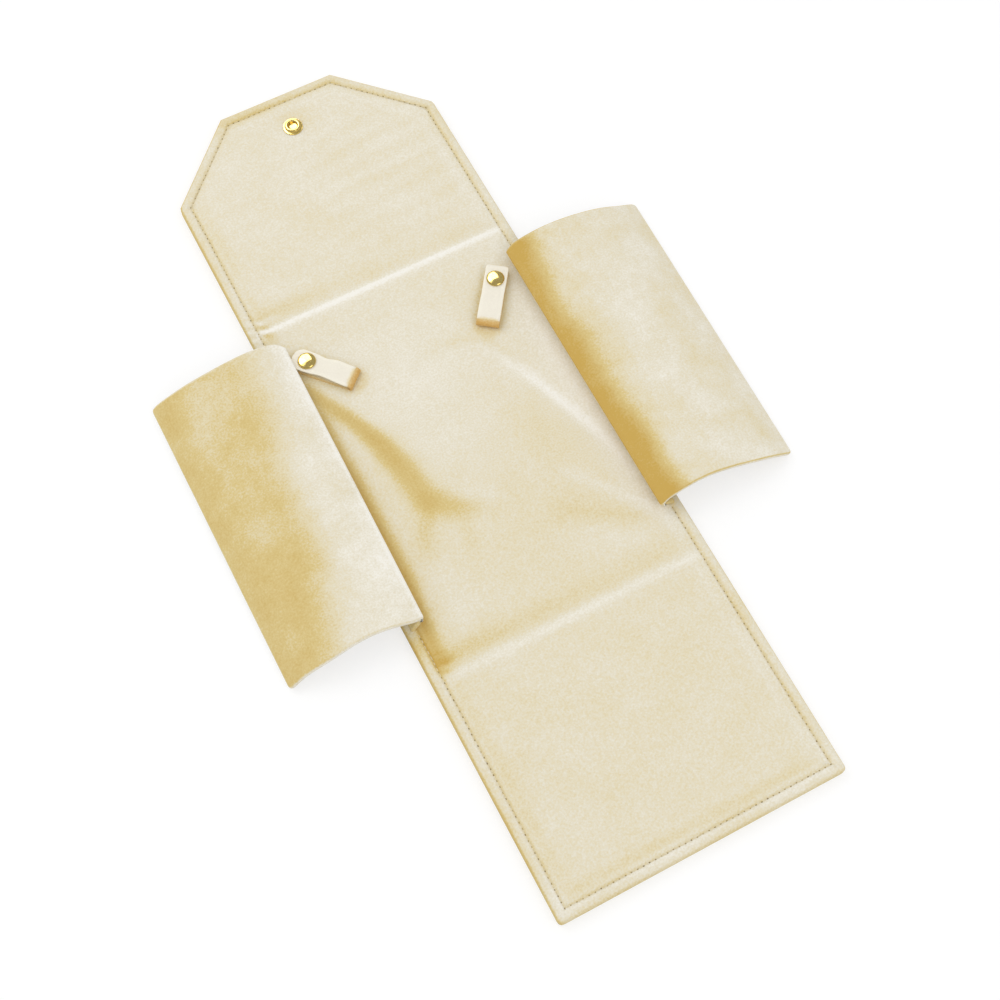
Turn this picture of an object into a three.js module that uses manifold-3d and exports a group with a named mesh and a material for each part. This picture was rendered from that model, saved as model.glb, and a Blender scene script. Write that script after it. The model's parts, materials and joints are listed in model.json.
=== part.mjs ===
// A velvet jewelry pouch lying open on a table: one long padded strip of three panels that folds in
// three, two soft side wings that fold in over the centre, two strap loops with press snaps, and a
// press snap on the flap.
// Millimetres. +Z is up, +Y runs along the strip towards the flap, and the origin is under the middle
// of the strip, on the table.
import * as THREE from 'three';
import { mergeVertices } from 'three/addons/utils/BufferGeometryUtils.js';
import Module from 'manifold-3d';

const wasm = await Module();
wasm.setup();

// Cloth and filling of the padded strip
const VELVET = 1.0;            // one sheet of cut-pile velvet
const FOAM = 2.2;              // padding behind the outer cover
const BOARD = 1.5;             // stiffening board behind the lining
const LAYER_GAP = 0.1;         // air between the layers
const SEAM_GAP = 0.3;          // the edge seam between cover and lining
const THICKNESS = 2 * VELVET + FOAM + BOARD + 3 * LAYER_GAP;

// The strip, from the lower panel's end to the flap's end
const STRIP_WIDTH = 151;
const LOWER_LENGTH = 127.3;
const CENTRE_LENGTH = 182.7;
const FLAP_LENGTH = 124.5;
const FLAP_CHAMFER = 42.5;     // the flap's two cut corners, at 45 degrees
const EDGE_ROUND = 1.6;        // the turned edge's radius
const STITCH_INSET = 5.5;      // topstitch line, inside the edge
const FILL_INSET = 1.0;        // the filling stops short of the topstitch
const FILL_GAP = 0.3;          // the filling's clearance in its pocket
const HINGE_GAP = 0.4;         // the crease left between a panel and a spine
const HINGE_HEM = 2.5;         // cloth left round the filling at a crease

// The strap loops
const STRAP_INSET = 16.5;      // snap centre, inside the topstitch
const STRAP_DROP = 17;         // snap centre, below the upper crease
const STRAP_TURN = 41.5;       // degrees that a strap leans inwards from the strip's length
const STRAP_WIDTH = 12;
const STRAP_TAIL = 8;          // tape behind the snap centre
const STRAP_REACH = 27;        // snap centre to the outside of the folded end
const STRAP_CORNER = 1.5;      // rounding of the tape's free corners
const TAPE = 1.1;              // the strap's tape
const STRAP_SEAT = 0.2;        // strap above the lining
const SNAP_SEAT = 0.1;         // air under a snap part

// Press snaps: the flap's, and the smaller ones on the straps
const FLAP_SNAP = {
  cap: 5.6, dome: 2.0, socket: 5.4, rise: 2.0, hole: 2.3, stud: 4.6, bulb: 1.9, post: 1.3,
};
const STRAP_SNAP = {
  cap: 4.7, dome: 1.6, socket: 4.0, rise: 1.6, hole: 2.1, stud: 3.8, bulb: 1.7, post: 1.2,
};
const SNAP_SHEET = 0.5;        // sheet metal of a snap part
const RIVET_SHEET = 0.3;       // the rivet's flat head
const POST_GAP = 0.15;         // a post in its hole
const CAP_RIM = 0.6;           // straight rim under a cap's dome
const FLAP_SNAP_INSET = 23;    // snap centre, from the flap's end
const DIMPLE_GAP = 1.5;        // the cloth pressed in round a snap on the outer face
const DIMPLE_SLOPE = 1.2;      // widening of that dimple towards the face
const ROUND_STEPS = 28;        // facets round a snap part

// The side wings
const WING_VELVET = 1.25;      // each of a wing's two sheets, with its backing
const WING_LAYER_GAP = 0.1;
const WING_LENGTH = 163;
const WING_TOP_GAP = 6.5;      // wing end, below the upper crease
const WING_SPREAD = 136;       // free edge, from the strip's middle line
const WING_LEAN = 3;           // the root wall leans inwards from the topstitch
const WING_LEAVE = 22;         // degrees at which the wing leaves its ridge
const FIRST_STRIP = 20;
const SECOND_STRIP = 26;
const WING_CORNER = 5;         // rounding of the free corners
const WING_OVER_STRAP = 1.2;   // room over a strap's cap, under a folded wing
const CREASE_GAP = 0.3;        // the crease left between two strips
const ARC_STEPS = 5;           // facets along each curved strip

// How the closed pouch stacks up: strap, wing, lower panel, flap
const PACK_ROOM = 1.3;         // room over the folded wings
const FLAP_ROOM = 0.5;         // room between the folded lower panel and the flap
const STRAP_GAP = STRAP_SNAP.rise + SNAP_SHEET + 3 * SNAP_SEAT;
const STRAP_HEIGHT = STRAP_SEAT + 2 * TAPE + STRAP_GAP;
const WING_THICKNESS = 2 * WING_VELVET + WING_LAYER_GAP;
const ROOT_RISE = STRAP_HEIGHT + SNAP_SEAT + STRAP_SNAP.dome + WING_OVER_STRAP;
const LOWER_SPINE = ROOT_RISE + WING_THICKNESS + PACK_ROOM;
const UPPER_SPINE = LOWER_SPINE + THICKNESS + FLAP_ROOM;

// Places along the strip
const TOTAL_LENGTH = LOWER_LENGTH + LOWER_SPINE + CENTRE_LENGTH + UPPER_SPINE + FLAP_LENGTH;
const LOWER_END_Y = -TOTAL_LENGTH / 2;
const LOWER_CREASE_Y = LOWER_END_Y + LOWER_LENGTH;
const CENTRE_LOW_Y = LOWER_CREASE_Y + LOWER_SPINE;
const CENTRE_HIGH_Y = CENTRE_LOW_Y + CENTRE_LENGTH;
const FLAP_CREASE_Y = CENTRE_HIGH_Y + UPPER_SPINE;
const FLAP_END_Y = TOTAL_LENGTH / 2;
const HALF_WIDTH = STRIP_WIDTH / 2;
const STITCH_X = HALF_WIDTH - STITCH_INSET;
const STRAP_X = STITCH_X - STRAP_INSET;
const FLAP_SNAP_Y = FLAP_END_Y - FLAP_SNAP_INSET;
const CLOSED_SNAP_Y = CENTRE_HIGH_Y - (FLAP_SNAP_Y - FLAP_CREASE_Y);
const STUD_Y = LOWER_CREASE_Y - (CLOSED_SNAP_Y - CENTRE_LOW_Y);

// Heights in the strip
const FOAM_Z = VELVET + LAYER_GAP;
const BOARD_Z = FOAM_Z + FOAM + LAYER_GAP;
const DIMPLE_DEPTH = FLAP_SNAP.dome + 2 * SNAP_SEAT;

// The wing's arch: an arc through the ridge and the free edge, seen along the strip
const RIDGE_X = STITCH_X - WING_LEAN;
const RIDGE_Z = THICKNESS + ROOT_RISE;
const LEAVE = THREE.MathUtils.degToRad(WING_LEAVE);
const ARCH_X = WING_SPREAD - RIDGE_X;
const ARCH_Z = WING_THICKNESS - RIDGE_Z;
const HALF_BEND = LEAVE - Math.atan2(ARCH_Z, ARCH_X);
const ARCH_RADIUS = Math.hypot(ARCH_X, ARCH_Z) / (2 * Math.sin(HALF_BEND));
const ARCH_LENGTH = ARCH_RADIUS * 2 * HALF_BEND;
const WING_HIGH_Y = CENTRE_HIGH_Y - WING_TOP_GAP;

// Finishes, in the photo's colours
const velvet = (colour) => new THREE.MeshStandardMaterial({ color: colour, roughness: 0.9, metalness: 0 });
const LINING = velvet(0xe8ddb8);
const COVER = velvet(0xe0d09a);
const TAPE_VELVET = velvet(0xeee2c4);
const FOAM_WHITE = velvet(0xf3efe4);
const GREY_BOARD = velvet(0x9c9486);
const GOLD = new THREE.MeshStandardMaterial({ color: 0xd2ac3c, roughness: 0.18, metalness: 1 });

const pouch = new THREE.Group();

// Adds one named piece to a group.
function add(group, name, geometry, material) {
  const mesh = new THREE.Mesh(geometry, material);
  mesh.name = name;
  group.add(mesh);
  return mesh;
}

// A closed geometry as a solid that can be cut and joined.
function solid(geometry) {
  const bare = geometry.clone();
  bare.deleteAttribute('normal');
  bare.deleteAttribute('uv');
  const merged = mergeVertices(bare, 1e-4);
  return new wasm.Manifold(new wasm.Mesh({
    numProp: 3,
    vertProperties: new Float32Array(merged.attributes.position.array),
    triVerts: new Uint32Array(merged.index.array),
  }));
}

// A cut or joined solid as a geometry again.
function geometryOf(body) {
  const mesh = body.getMesh();
  const geometry = new THREE.BufferGeometry();
  geometry.setAttribute('position', new THREE.BufferAttribute(mesh.vertProperties, 3));
  geometry.setIndex(new THREE.BufferAttribute(mesh.triVerts, 1));
  geometry.computeVertexNormals();
  return geometry;
}

// A block between two corners.
function block(low, high) {
  const size = high.map((value, axis) => value - low[axis]);
  const geometry = new THREE.BoxGeometry(...size);
  return geometry.translate(...high.map((value, axis) => (value + low[axis]) / 2));
}

// A turned piece about a vertical axis, from a profile of [radius, height] points.
function turned(profile) {
  const points = profile.map(([radius, height]) => new THREE.Vector2(radius, height));
  return new THREE.LatheGeometry(points, ROUND_STEPS).rotateX(Math.PI / 2);
}

// A straight or tapered round plug between two heights, for holes and bosses.
function plug(x, y, lowRadius, highRadius, low, high) {
  const geometry = new THREE.CylinderGeometry(highRadius, lowRadius, high - low, ROUND_STEPS);
  return geometry.rotateX(Math.PI / 2).translate(x, y, (low + high) / 2);
}

// The outline of the strip between two places along it, drawn in by an inset. The flap's corners are
// cut where the outline reaches the flap's end.
function stripOutline(low, high, inset) {
  const half = HALF_WIDTH - inset;
  const shape = new THREE.Shape();
  shape.moveTo(-half, low);
  shape.lineTo(half, low);
  if (high + inset < FLAP_END_Y) {
    shape.lineTo(half, high);
    shape.lineTo(-half, high);
  } else {
    const cut = FLAP_CHAMFER - inset * (2 - Math.SQRT2);
    shape.lineTo(half, high - cut);
    shape.lineTo(half - cut, high);
    shape.lineTo(-half + cut, high);
    shape.lineTo(-half, high - cut);
  }
  shape.closePath();
  return shape;
}

// A flat sheet of the strip between two heights.
function sheet(low, high, inset, bottom, top) {
  const outline = stripOutline(low, high, inset);
  const geometry = new THREE.ExtrudeGeometry(outline, { depth: top - bottom, bevelEnabled: false });
  return geometry.translate(0, 0, bottom);
}

// The whole strip as one slab with turned edges, which the covers and linings are cut from.
function stripSlab() {
  const geometry = new THREE.ExtrudeGeometry(stripOutline(LOWER_END_Y, FLAP_END_Y, 0), {
    depth: THICKNESS - 2 * EDGE_ROUND,
    bevelThickness: EDGE_ROUND,
    bevelSize: EDGE_ROUND,
    bevelOffset: -EDGE_ROUND,
    bevelSegments: 3,
  });
  return solid(geometry.translate(0, 0, EDGE_ROUND));
}

const SLAB = stripSlab();
const SEAM_Z = THICKNESS / 2;

// One half of the slab, below or above the edge seam, between two creases, with the filling's pocket
// left open in it. A crease takes half its gap from each side; the strip's own ends keep theirs.
function shell(low, high, bottom, top) {
  const lowGap = low > LOWER_END_Y ? HINGE_GAP / 2 : -1;
  const highGap = high < FLAP_END_Y ? HINGE_GAP / 2 : -1;
  const band = block([-STRIP_WIDTH, low + lowGap, bottom], [STRIP_WIDTH, high - highGap, top]);
  const pocket = fillSheet(low, high, 0, VELVET, THICKNESS - VELVET);
  return SLAB.intersect(solid(band)).subtract(solid(pocket));
}

const coverShell = (low, high) => shell(low, high, -1, SEAM_Z - SEAM_GAP / 2);
const liningShell = (low, high) => shell(low, high, SEAM_Z + SEAM_GAP / 2, THICKNESS + 1);

// A sheet of filling inside the topstitch, short of the creases.
function fillSheet(low, high, gap, bottom, top) {
  const inset = STITCH_INSET + FILL_INSET + gap;
  const start = low > LOWER_END_Y ? low + HINGE_HEM + gap : low + inset;
  const end = high < FLAP_END_Y ? high - HINGE_HEM - gap : high - inset;
  return sheet(start, end, inset, bottom, top);
}

const foamSheet = (low, high) => fillSheet(low, high, FILL_GAP, FOAM_Z, FOAM_Z + FOAM);
const boardSheet = (low, high) => fillSheet(low, high, FILL_GAP, BOARD_Z, BOARD_Z + BOARD);

// The dimple that a snap presses into the outer face: a boss of cloth behind it, and the hollow.
function dimpled(cover, y, radius, post) {
  const floor = radius + DIMPLE_GAP;
  const mouth = floor + DIMPLE_SLOPE;
  const back = DIMPLE_DEPTH + VELVET;
  const boss = plug(0, y, mouth + VELVET, floor + VELVET, 0, back);
  const hollow = plug(0, y, mouth + DIMPLE_SLOPE, floor, -DIMPLE_DEPTH, DIMPLE_DEPTH);
  const hole = plug(0, y, post + POST_GAP, post + POST_GAP, 0, back + 1);
  return cover.add(solid(boss)).subtract(solid(hollow)).subtract(solid(hole));
}

// A piece with a round hole right through it.
function pierced(body, x, y, radius) {
  return body.subtract(solid(plug(x, y, radius, radius, -THICKNESS, 2 * THICKNESS)));
}

// Snap cap: a low dome with a straight rim and a post behind it, seated at height 0, dome up.
function snapCap(snap, postLength) {
  const dome = [];
  const steps = 6;
  for (let i = 0; i <= steps; i++) {
    const angle = (i / steps) * (Math.PI / 2);
    dome.push([snap.cap * Math.cos(angle), CAP_RIM + (snap.dome - CAP_RIM) * Math.sin(angle)]);
  }
  dome[steps][0] = 0;
  const back = [[0, -postLength], [snap.post, -postLength], [snap.post, 0], [snap.cap - CAP_RIM / 2, 0]];
  return turned([...back, ...dome]);
}

// Snap socket: a ring with a raised lip round the hole that takes the stud, and a thin floor for the
// post, seated at height 0, hole up.
function snapSocket(snap) {
  const bore = snap.post + POST_GAP;
  const lip = (snap.hole + snap.socket) / 2;
  return turned([
    [bore, 0], [snap.socket - SNAP_SHEET, 0], [snap.socket, SNAP_SHEET / 2],
    [snap.socket - SNAP_SHEET / 2, SNAP_SHEET * 1.5], [lip + SNAP_SHEET, snap.rise - SNAP_SHEET],
    [lip, snap.rise], [snap.hole + SNAP_SHEET / 2, snap.rise], [snap.hole, snap.rise - SNAP_SHEET / 2],
    [snap.hole, SNAP_SHEET], [bore, SNAP_SHEET], [bore, 0],
  ]);
}

// Snap stud: a flat flange with a waisted bulb, bored for its rivet, seated at height 0, bulb up.
function snapStud(snap, height) {
  const bore = snap.post + POST_GAP;
  const waist = snap.bulb - SNAP_SHEET / 2;
  return turned([
    [bore, 0], [snap.stud - SNAP_SHEET / 2, 0], [snap.stud, SNAP_SHEET / 2], [waist + SNAP_SHEET, SNAP_SHEET],
    [waist, SNAP_SHEET * 1.5], [snap.bulb, height - SNAP_SHEET], [waist, height], [bore, height], [bore, 0],
  ]);
}

// Rivet that holds a stud: a flat head at height 0 and a stem of a given length above it.
function snapRivet(snap, stem) {
  return turned([
    [0, 0], [snap.stud - SNAP_SHEET, 0], [snap.stud - SNAP_SHEET, RIVET_SHEET], [snap.post, RIVET_SHEET],
    [snap.post, RIVET_SHEET + stem], [0, RIVET_SHEET + stem],
  ]);
}

// Centre panel
add(pouch, 'centre_cover', geometryOf(coverShell(CENTRE_LOW_Y, CENTRE_HIGH_Y)), COVER);
add(pouch, 'centre_padding', foamSheet(CENTRE_LOW_Y, CENTRE_HIGH_Y), FOAM_WHITE);
add(pouch, 'centre_board', boardSheet(CENTRE_LOW_Y, CENTRE_HIGH_Y), GREY_BOARD);
add(pouch, 'centre_lining', geometryOf(liningShell(CENTRE_LOW_Y, CENTRE_HIGH_Y)), LINING);

// Soft spines, with padding and no board
const SPINES = { lower_spine: [LOWER_CREASE_Y, CENTRE_LOW_Y], upper_spine: [CENTRE_HIGH_Y, FLAP_CREASE_Y] };
for (const [name, [low, high]] of Object.entries(SPINES)) {
  const padding = fillSheet(low, high, FILL_GAP, FOAM_Z, BOARD_Z + BOARD);
  add(pouch, `${name}_cover`, geometryOf(coverShell(low, high)), COVER);
  add(pouch, `${name}_padding`, padding, FOAM_WHITE);
  add(pouch, `${name}_lining`, geometryOf(liningShell(low, high)), LINING);
}

// Lower panel, with the stud in a dimple on its outer face and the rivet's head sunk in the board
const STUD_HEIGHT = DIMPLE_DEPTH - 2 * SNAP_SEAT;
const STUD_BOSS = FLAP_SNAP.socket + DIMPLE_GAP + DIMPLE_SLOPE + VELVET + FILL_GAP;
const HEAD_HOLE = FLAP_SNAP.stud - SNAP_SHEET + POST_GAP;
const HEAD_Z = BOARD_Z + BOARD - RIVET_SHEET - LAYER_GAP;
const lowerCover = coverShell(LOWER_END_Y, LOWER_CREASE_Y);
const lowerFoam = solid(foamSheet(LOWER_END_Y, LOWER_CREASE_Y));
const headRecess = plug(0, STUD_Y, HEAD_HOLE, HEAD_HOLE, HEAD_Z - LAYER_GAP, THICKNESS);
const recessedBoard = solid(boardSheet(LOWER_END_Y, LOWER_CREASE_Y)).subtract(solid(headRecess));
const lowerBoard = pierced(recessedBoard, 0, STUD_Y, FLAP_SNAP.post + POST_GAP);
add(pouch, 'lower_cover', geometryOf(dimpled(lowerCover, STUD_Y, FLAP_SNAP.socket, FLAP_SNAP.post)), COVER);
add(pouch, 'lower_padding', geometryOf(pierced(lowerFoam, 0, STUD_Y, STUD_BOSS)), FOAM_WHITE);
add(pouch, 'lower_board', geometryOf(lowerBoard), GREY_BOARD);
add(pouch, 'lower_lining', geometryOf(liningShell(LOWER_END_Y, LOWER_CREASE_Y)), LINING);

const stud = add(pouch, 'closure_stud', snapStud(FLAP_SNAP, STUD_HEIGHT), GOLD);
stud.rotation.x = Math.PI;
stud.position.set(0, STUD_Y, DIMPLE_DEPTH - SNAP_SEAT);
const STUD_STEM = HEAD_Z - DIMPLE_DEPTH + STUD_HEIGHT;
const studRivet = add(pouch, 'closure_rivet', snapRivet(FLAP_SNAP, STUD_STEM), GOLD);
studRivet.rotation.x = Math.PI;
studRivet.position.set(0, STUD_Y, HEAD_Z + RIVET_SHEET);

// Flap, with the cap in a dimple on its outer face and the socket on its lining
const CAP_BOSS = FLAP_SNAP.cap + DIMPLE_GAP + DIMPLE_SLOPE + VELVET + FILL_GAP;
const POST_HOLE = FLAP_SNAP.post + POST_GAP;
const CAP_SEAT_Z = DIMPLE_DEPTH - SNAP_SEAT;
const flapCover = coverShell(FLAP_CREASE_Y, FLAP_END_Y);
const flapFoam = solid(foamSheet(FLAP_CREASE_Y, FLAP_END_Y));
const flapBoard = solid(boardSheet(FLAP_CREASE_Y, FLAP_END_Y));
const flapLining = liningShell(FLAP_CREASE_Y, FLAP_END_Y);
add(pouch, 'flap_cover', geometryOf(dimpled(flapCover, FLAP_SNAP_Y, FLAP_SNAP.cap, FLAP_SNAP.post)), COVER);
add(pouch, 'flap_padding', geometryOf(pierced(flapFoam, 0, FLAP_SNAP_Y, CAP_BOSS)), FOAM_WHITE);
add(pouch, 'flap_board', geometryOf(pierced(flapBoard, 0, FLAP_SNAP_Y, POST_HOLE)), GREY_BOARD);
add(pouch, 'flap_lining', geometryOf(pierced(flapLining, 0, FLAP_SNAP_Y, POST_HOLE)), LINING);

const capPost = THICKNESS - CAP_SEAT_Z + SNAP_SHEET;
const flapCap = add(pouch, 'flap_cap', snapCap(FLAP_SNAP, capPost), GOLD);
flapCap.rotation.x = Math.PI;
flapCap.position.set(0, FLAP_SNAP_Y, CAP_SEAT_Z);
const flapSocket = add(pouch, 'flap_socket', snapSocket(FLAP_SNAP), GOLD);
flapSocket.position.set(0, FLAP_SNAP_Y, THICKNESS + SNAP_SEAT);

// A point of the wing's arch, at a distance along it from the ridge and a depth under its upper face.
function archPoint(along, depth) {
  const heading = LEAVE - along / ARCH_RADIUS;
  const radius = ARCH_RADIUS - depth;
  const x = RIDGE_X + ARCH_RADIUS * Math.sin(LEAVE) - radius * Math.sin(heading);
  const z = RIDGE_Z - ARCH_RADIUS * Math.cos(LEAVE) + radius * Math.cos(heading);
  return new THREE.Vector2(x, z);
}

// A wing's section, drawn in x and z, as a solid along the wing's length.
function alongWing(points) {
  const section = new THREE.Shape(points);
  const geometry = new THREE.ExtrudeGeometry(section, { depth: WING_LENGTH, bevelEnabled: false });
  return geometry.rotateX(Math.PI / 2).translate(0, WING_HIGH_Y, 0);
}

// One velvet layer of a strip between two distances along the arch and two depths. The first strip
// starts at the ridge, on the mitre that it shares with the root wall.
function stripLayer(start, end, upper, lower) {
  const creased = start + CREASE_GAP / 2;
  const from = start > 0 ? [creased, creased] : [mitreStart(upper), mitreStart(lower)];
  const to = end < ARCH_LENGTH ? end - CREASE_GAP / 2 : end;
  const top = [];
  const under = [];
  for (let i = 0; i <= ARC_STEPS; i++) {
    const share = i / ARC_STEPS;
    top.push(archPoint(THREE.MathUtils.lerp(from[0], to, share), upper));
    under.push(archPoint(THREE.MathUtils.lerp(from[1], to, share), lower));
  }
  return alongWing([...top, ...under.reverse()]);
}

// The ridge's mitre halves the angle between the root wall and the wing, so a layer that lies deeper
// starts further out.
const WALL_ANGLE = Math.atan2(-ROOT_RISE, WING_LEAN);
const MITRE_ANGLE = (WALL_ANGLE + LEAVE) / 2;
const MITRE_SLOPE = Math.tan(LEAVE - MITRE_ANGLE);
const mitreStart = (depth) => depth / MITRE_SLOPE + CREASE_GAP / 2;

// The root wall: both sheets sewn together, rising from the topstitch to the ridge.
function rootWall() {
  const mitreEnd = WING_THICKNESS / Math.sin(LEAVE - MITRE_ANGLE);
  const ridge = new THREE.Vector2(RIDGE_X, RIDGE_Z - CREASE_GAP);
  const inside = new THREE.Vector2(
    RIDGE_X + mitreEnd * Math.cos(MITRE_ANGLE),
    RIDGE_Z - CREASE_GAP + mitreEnd * Math.sin(MITRE_ANGLE),
  );
  const foot = RIDGE_X + WING_LEAN;
  return alongWing([
    new THREE.Vector2(foot - WING_THICKNESS / 2, THICKNESS),
    new THREE.Vector2(foot + WING_THICKNESS / 2, THICKNESS),
    inside,
    ridge,
  ]);
}

// A strip with the wing's two free corners rounded off.
function roundedCorners(geometry) {
  const middle = WING_HIGH_Y - WING_LENGTH / 2;
  const half = WING_LENGTH / 2;
  const turn = half - WING_CORNER;
  const plan = new THREE.Shape();
  plan.moveTo(0, -half);
  plan.lineTo(WING_SPREAD - WING_CORNER, -half);
  plan.absarc(WING_SPREAD - WING_CORNER, -turn, WING_CORNER, -Math.PI / 2, 0, false);
  plan.absarc(WING_SPREAD - WING_CORNER, turn, WING_CORNER, 0, Math.PI / 2, false);
  plan.lineTo(0, half);
  plan.closePath();
  const depth = 4 * RIDGE_Z;
  const prism = new THREE.ExtrudeGeometry(plan, { depth, bevelEnabled: false, curveSegments: 5 });
  prism.translate(0, middle, -RIDGE_Z);
  return geometryOf(solid(geometry).intersect(solid(prism)));
}

// Side wings: the right one is drawn, and the left one is its mirror image
const STRIP_ENDS = { inner: [0, FIRST_STRIP], middle: [FIRST_STRIP, FIRST_STRIP + SECOND_STRIP] };
STRIP_ENDS.outer = [FIRST_STRIP + SECOND_STRIP, ARCH_LENGTH];
for (const [side, mirror] of [['left', -1], ['right', 1]]) {
  const wing = new THREE.Group();
  wing.scale.x = mirror;
  add(wing, `${side}_wing_root`, rootWall(), LINING);
  for (const [strip, [start, end]] of Object.entries(STRIP_ENDS)) {
    let upper = stripLayer(start, end, 0, WING_VELVET);
    let under = stripLayer(start, end, WING_VELVET + WING_LAYER_GAP, WING_THICKNESS);
    if (strip === 'outer') {
      upper = roundedCorners(upper);
      under = roundedCorners(under);
    }
    add(wing, `${side}_wing_${strip}_upper`, upper, LINING);
    add(wing, `${side}_wing_${strip}_under`, under, COVER);
  }
  pouch.add(wing);
}

// The strap's base tape and its folded end, drawn from the side with the snap at the origin: the tape
// lies on the lining, turns up and back over itself, and stops at the top of the turn. The head of the
// stud's rivet is sunk in its underside.
function strapBase() {
  const outer = TAPE + STRAP_GAP / 2;
  const inner = STRAP_GAP / 2;
  const turn = STRAP_REACH - outer;
  const side = new THREE.Shape();
  side.moveTo(-STRAP_TAIL, 0);
  side.lineTo(turn, 0);
  side.absarc(turn, outer, outer, -Math.PI / 2, Math.PI / 2, false);
  side.lineTo(turn, outer + inner);
  side.absarc(turn, outer, inner, Math.PI / 2, -Math.PI / 2, true);
  side.lineTo(-STRAP_TAIL, TAPE);
  side.closePath();
  const tape = new THREE.ExtrudeGeometry(side, { depth: STRAP_WIDTH, bevelEnabled: false, curveSegments: 8 });
  tape.rotateX(Math.PI / 2).translate(0, STRAP_WIDTH / 2, 0);
  const head = STRAP_SNAP.stud - SNAP_SHEET + POST_GAP;
  const recess = plug(0, 0, head, head, -STRAP_SEAT, RIVET_SHEET + SNAP_SEAT);
  return geometryOf(pierced(solid(tape).subtract(solid(recess)), 0, 0, STRAP_SNAP.post + POST_GAP));
}

// The strap's top tape, a flat strip with rounded free corners, pierced for its snap.
function strapTop() {
  const turn = STRAP_REACH - TAPE - STRAP_GAP / 2;
  const end = turn - CREASE_GAP;
  const half = STRAP_WIDTH / 2;
  const plan = new THREE.Shape();
  plan.moveTo(end, -half);
  plan.lineTo(end, half);
  plan.lineTo(-STRAP_TAIL + STRAP_CORNER, half);
  plan.absarc(-STRAP_TAIL + STRAP_CORNER, half - STRAP_CORNER, STRAP_CORNER, Math.PI / 2, Math.PI, false);
  plan.absarc(-STRAP_TAIL + STRAP_CORNER, -half + STRAP_CORNER, STRAP_CORNER, Math.PI, 1.5 * Math.PI, false);
  plan.closePath();
  const hole = new THREE.Path();
  hole.absarc(0, 0, STRAP_SNAP.post + POST_GAP, 0, 2 * Math.PI, true);
  plan.holes.push(hole);
  return new THREE.ExtrudeGeometry(plan, { depth: TAPE, bevelEnabled: false, curveSegments: 8 });
}

// Straps: each lies with its snap near a top corner of the centre panel and leans inwards
const STRAP_TOP_Z = TAPE + STRAP_GAP;
const STRAP_STUD_HEIGHT = STRAP_GAP - SNAP_SHEET - 3 * SNAP_SEAT;
const STRAP_STEM = TAPE - RIVET_SHEET + STRAP_STUD_HEIGHT;
for (const [side, mirror] of [['left', -1], ['right', 1]]) {
  const strap = new THREE.Group();
  strap.position.set(mirror * STRAP_X, CENTRE_HIGH_Y - STRAP_DROP, THICKNESS + STRAP_SEAT);
  strap.rotation.z = THREE.MathUtils.degToRad(-90 - mirror * STRAP_TURN);
  add(strap, `${side}_strap_base`, strapBase(), TAPE_VELVET);
  add(strap, `${side}_strap_top`, strapTop(), TAPE_VELVET).position.z = STRAP_TOP_Z;

  const cap = add(strap, `${side}_strap_cap`, snapCap(STRAP_SNAP, TAPE + 2 * SNAP_SEAT + SNAP_SHEET), GOLD);
  cap.position.z = STRAP_TOP_Z + TAPE + SNAP_SEAT;
  const socket = add(strap, `${side}_strap_socket`, snapSocket(STRAP_SNAP), GOLD);
  socket.rotation.x = Math.PI;
  socket.position.z = STRAP_TOP_Z - SNAP_SEAT;
  const strapStud = add(strap, `${side}_strap_stud`, snapStud(STRAP_SNAP, STRAP_STUD_HEIGHT), GOLD);
  strapStud.position.z = TAPE + SNAP_SEAT;
  add(strap, `${side}_strap_rivet`, snapRivet(STRAP_SNAP, STRAP_STEM), GOLD);
  pouch.add(strap);
}

export default pouch;
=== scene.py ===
# %% [markdown]
# # A velvet jewelry pouch, lying open
# The pouch is one long padded strip that folds in three, with two soft side wings, two small strap
# loops and gold press snaps. The imported model gives every place and size. This lesson dresses it:
# each cloth piece is a thin closed sheet, modelled point by point.

# %% Load the imported model
import json
import math

import bpy
import numpy as np
from mathutils import Matrix, Vector


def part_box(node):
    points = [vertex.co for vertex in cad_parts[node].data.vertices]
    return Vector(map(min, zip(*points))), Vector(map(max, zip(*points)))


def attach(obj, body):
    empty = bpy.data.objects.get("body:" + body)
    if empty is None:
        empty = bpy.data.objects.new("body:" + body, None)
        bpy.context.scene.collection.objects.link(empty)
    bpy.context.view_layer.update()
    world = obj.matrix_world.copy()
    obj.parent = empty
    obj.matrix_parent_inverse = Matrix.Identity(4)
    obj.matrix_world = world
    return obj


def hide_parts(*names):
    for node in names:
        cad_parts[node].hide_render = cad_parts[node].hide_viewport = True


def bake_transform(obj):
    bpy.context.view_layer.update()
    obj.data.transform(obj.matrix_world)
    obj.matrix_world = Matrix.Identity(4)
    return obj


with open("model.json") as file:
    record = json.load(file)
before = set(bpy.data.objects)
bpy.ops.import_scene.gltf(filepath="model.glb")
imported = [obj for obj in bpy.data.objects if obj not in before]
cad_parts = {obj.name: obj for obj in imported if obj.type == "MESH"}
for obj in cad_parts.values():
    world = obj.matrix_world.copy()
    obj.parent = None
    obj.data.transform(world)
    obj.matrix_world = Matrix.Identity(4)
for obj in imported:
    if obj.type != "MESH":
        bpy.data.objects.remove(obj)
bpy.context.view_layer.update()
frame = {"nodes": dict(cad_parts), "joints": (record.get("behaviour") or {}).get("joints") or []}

MM = 0.001
nodes = frame["nodes"]
hinge = {joint["name"]: np.array(joint["pos_m"]) / MM for joint in frame["joints"]}


def node_box(name):
    """Lowest and highest corner of a node, in millimetres."""
    low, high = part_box(name)
    return np.array(low) / MM, np.array(high) / MM


def node_middle(name):
    """The middle of a node's box, in millimetres."""
    low, high = node_box(name)
    return (low + high) / 2


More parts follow.
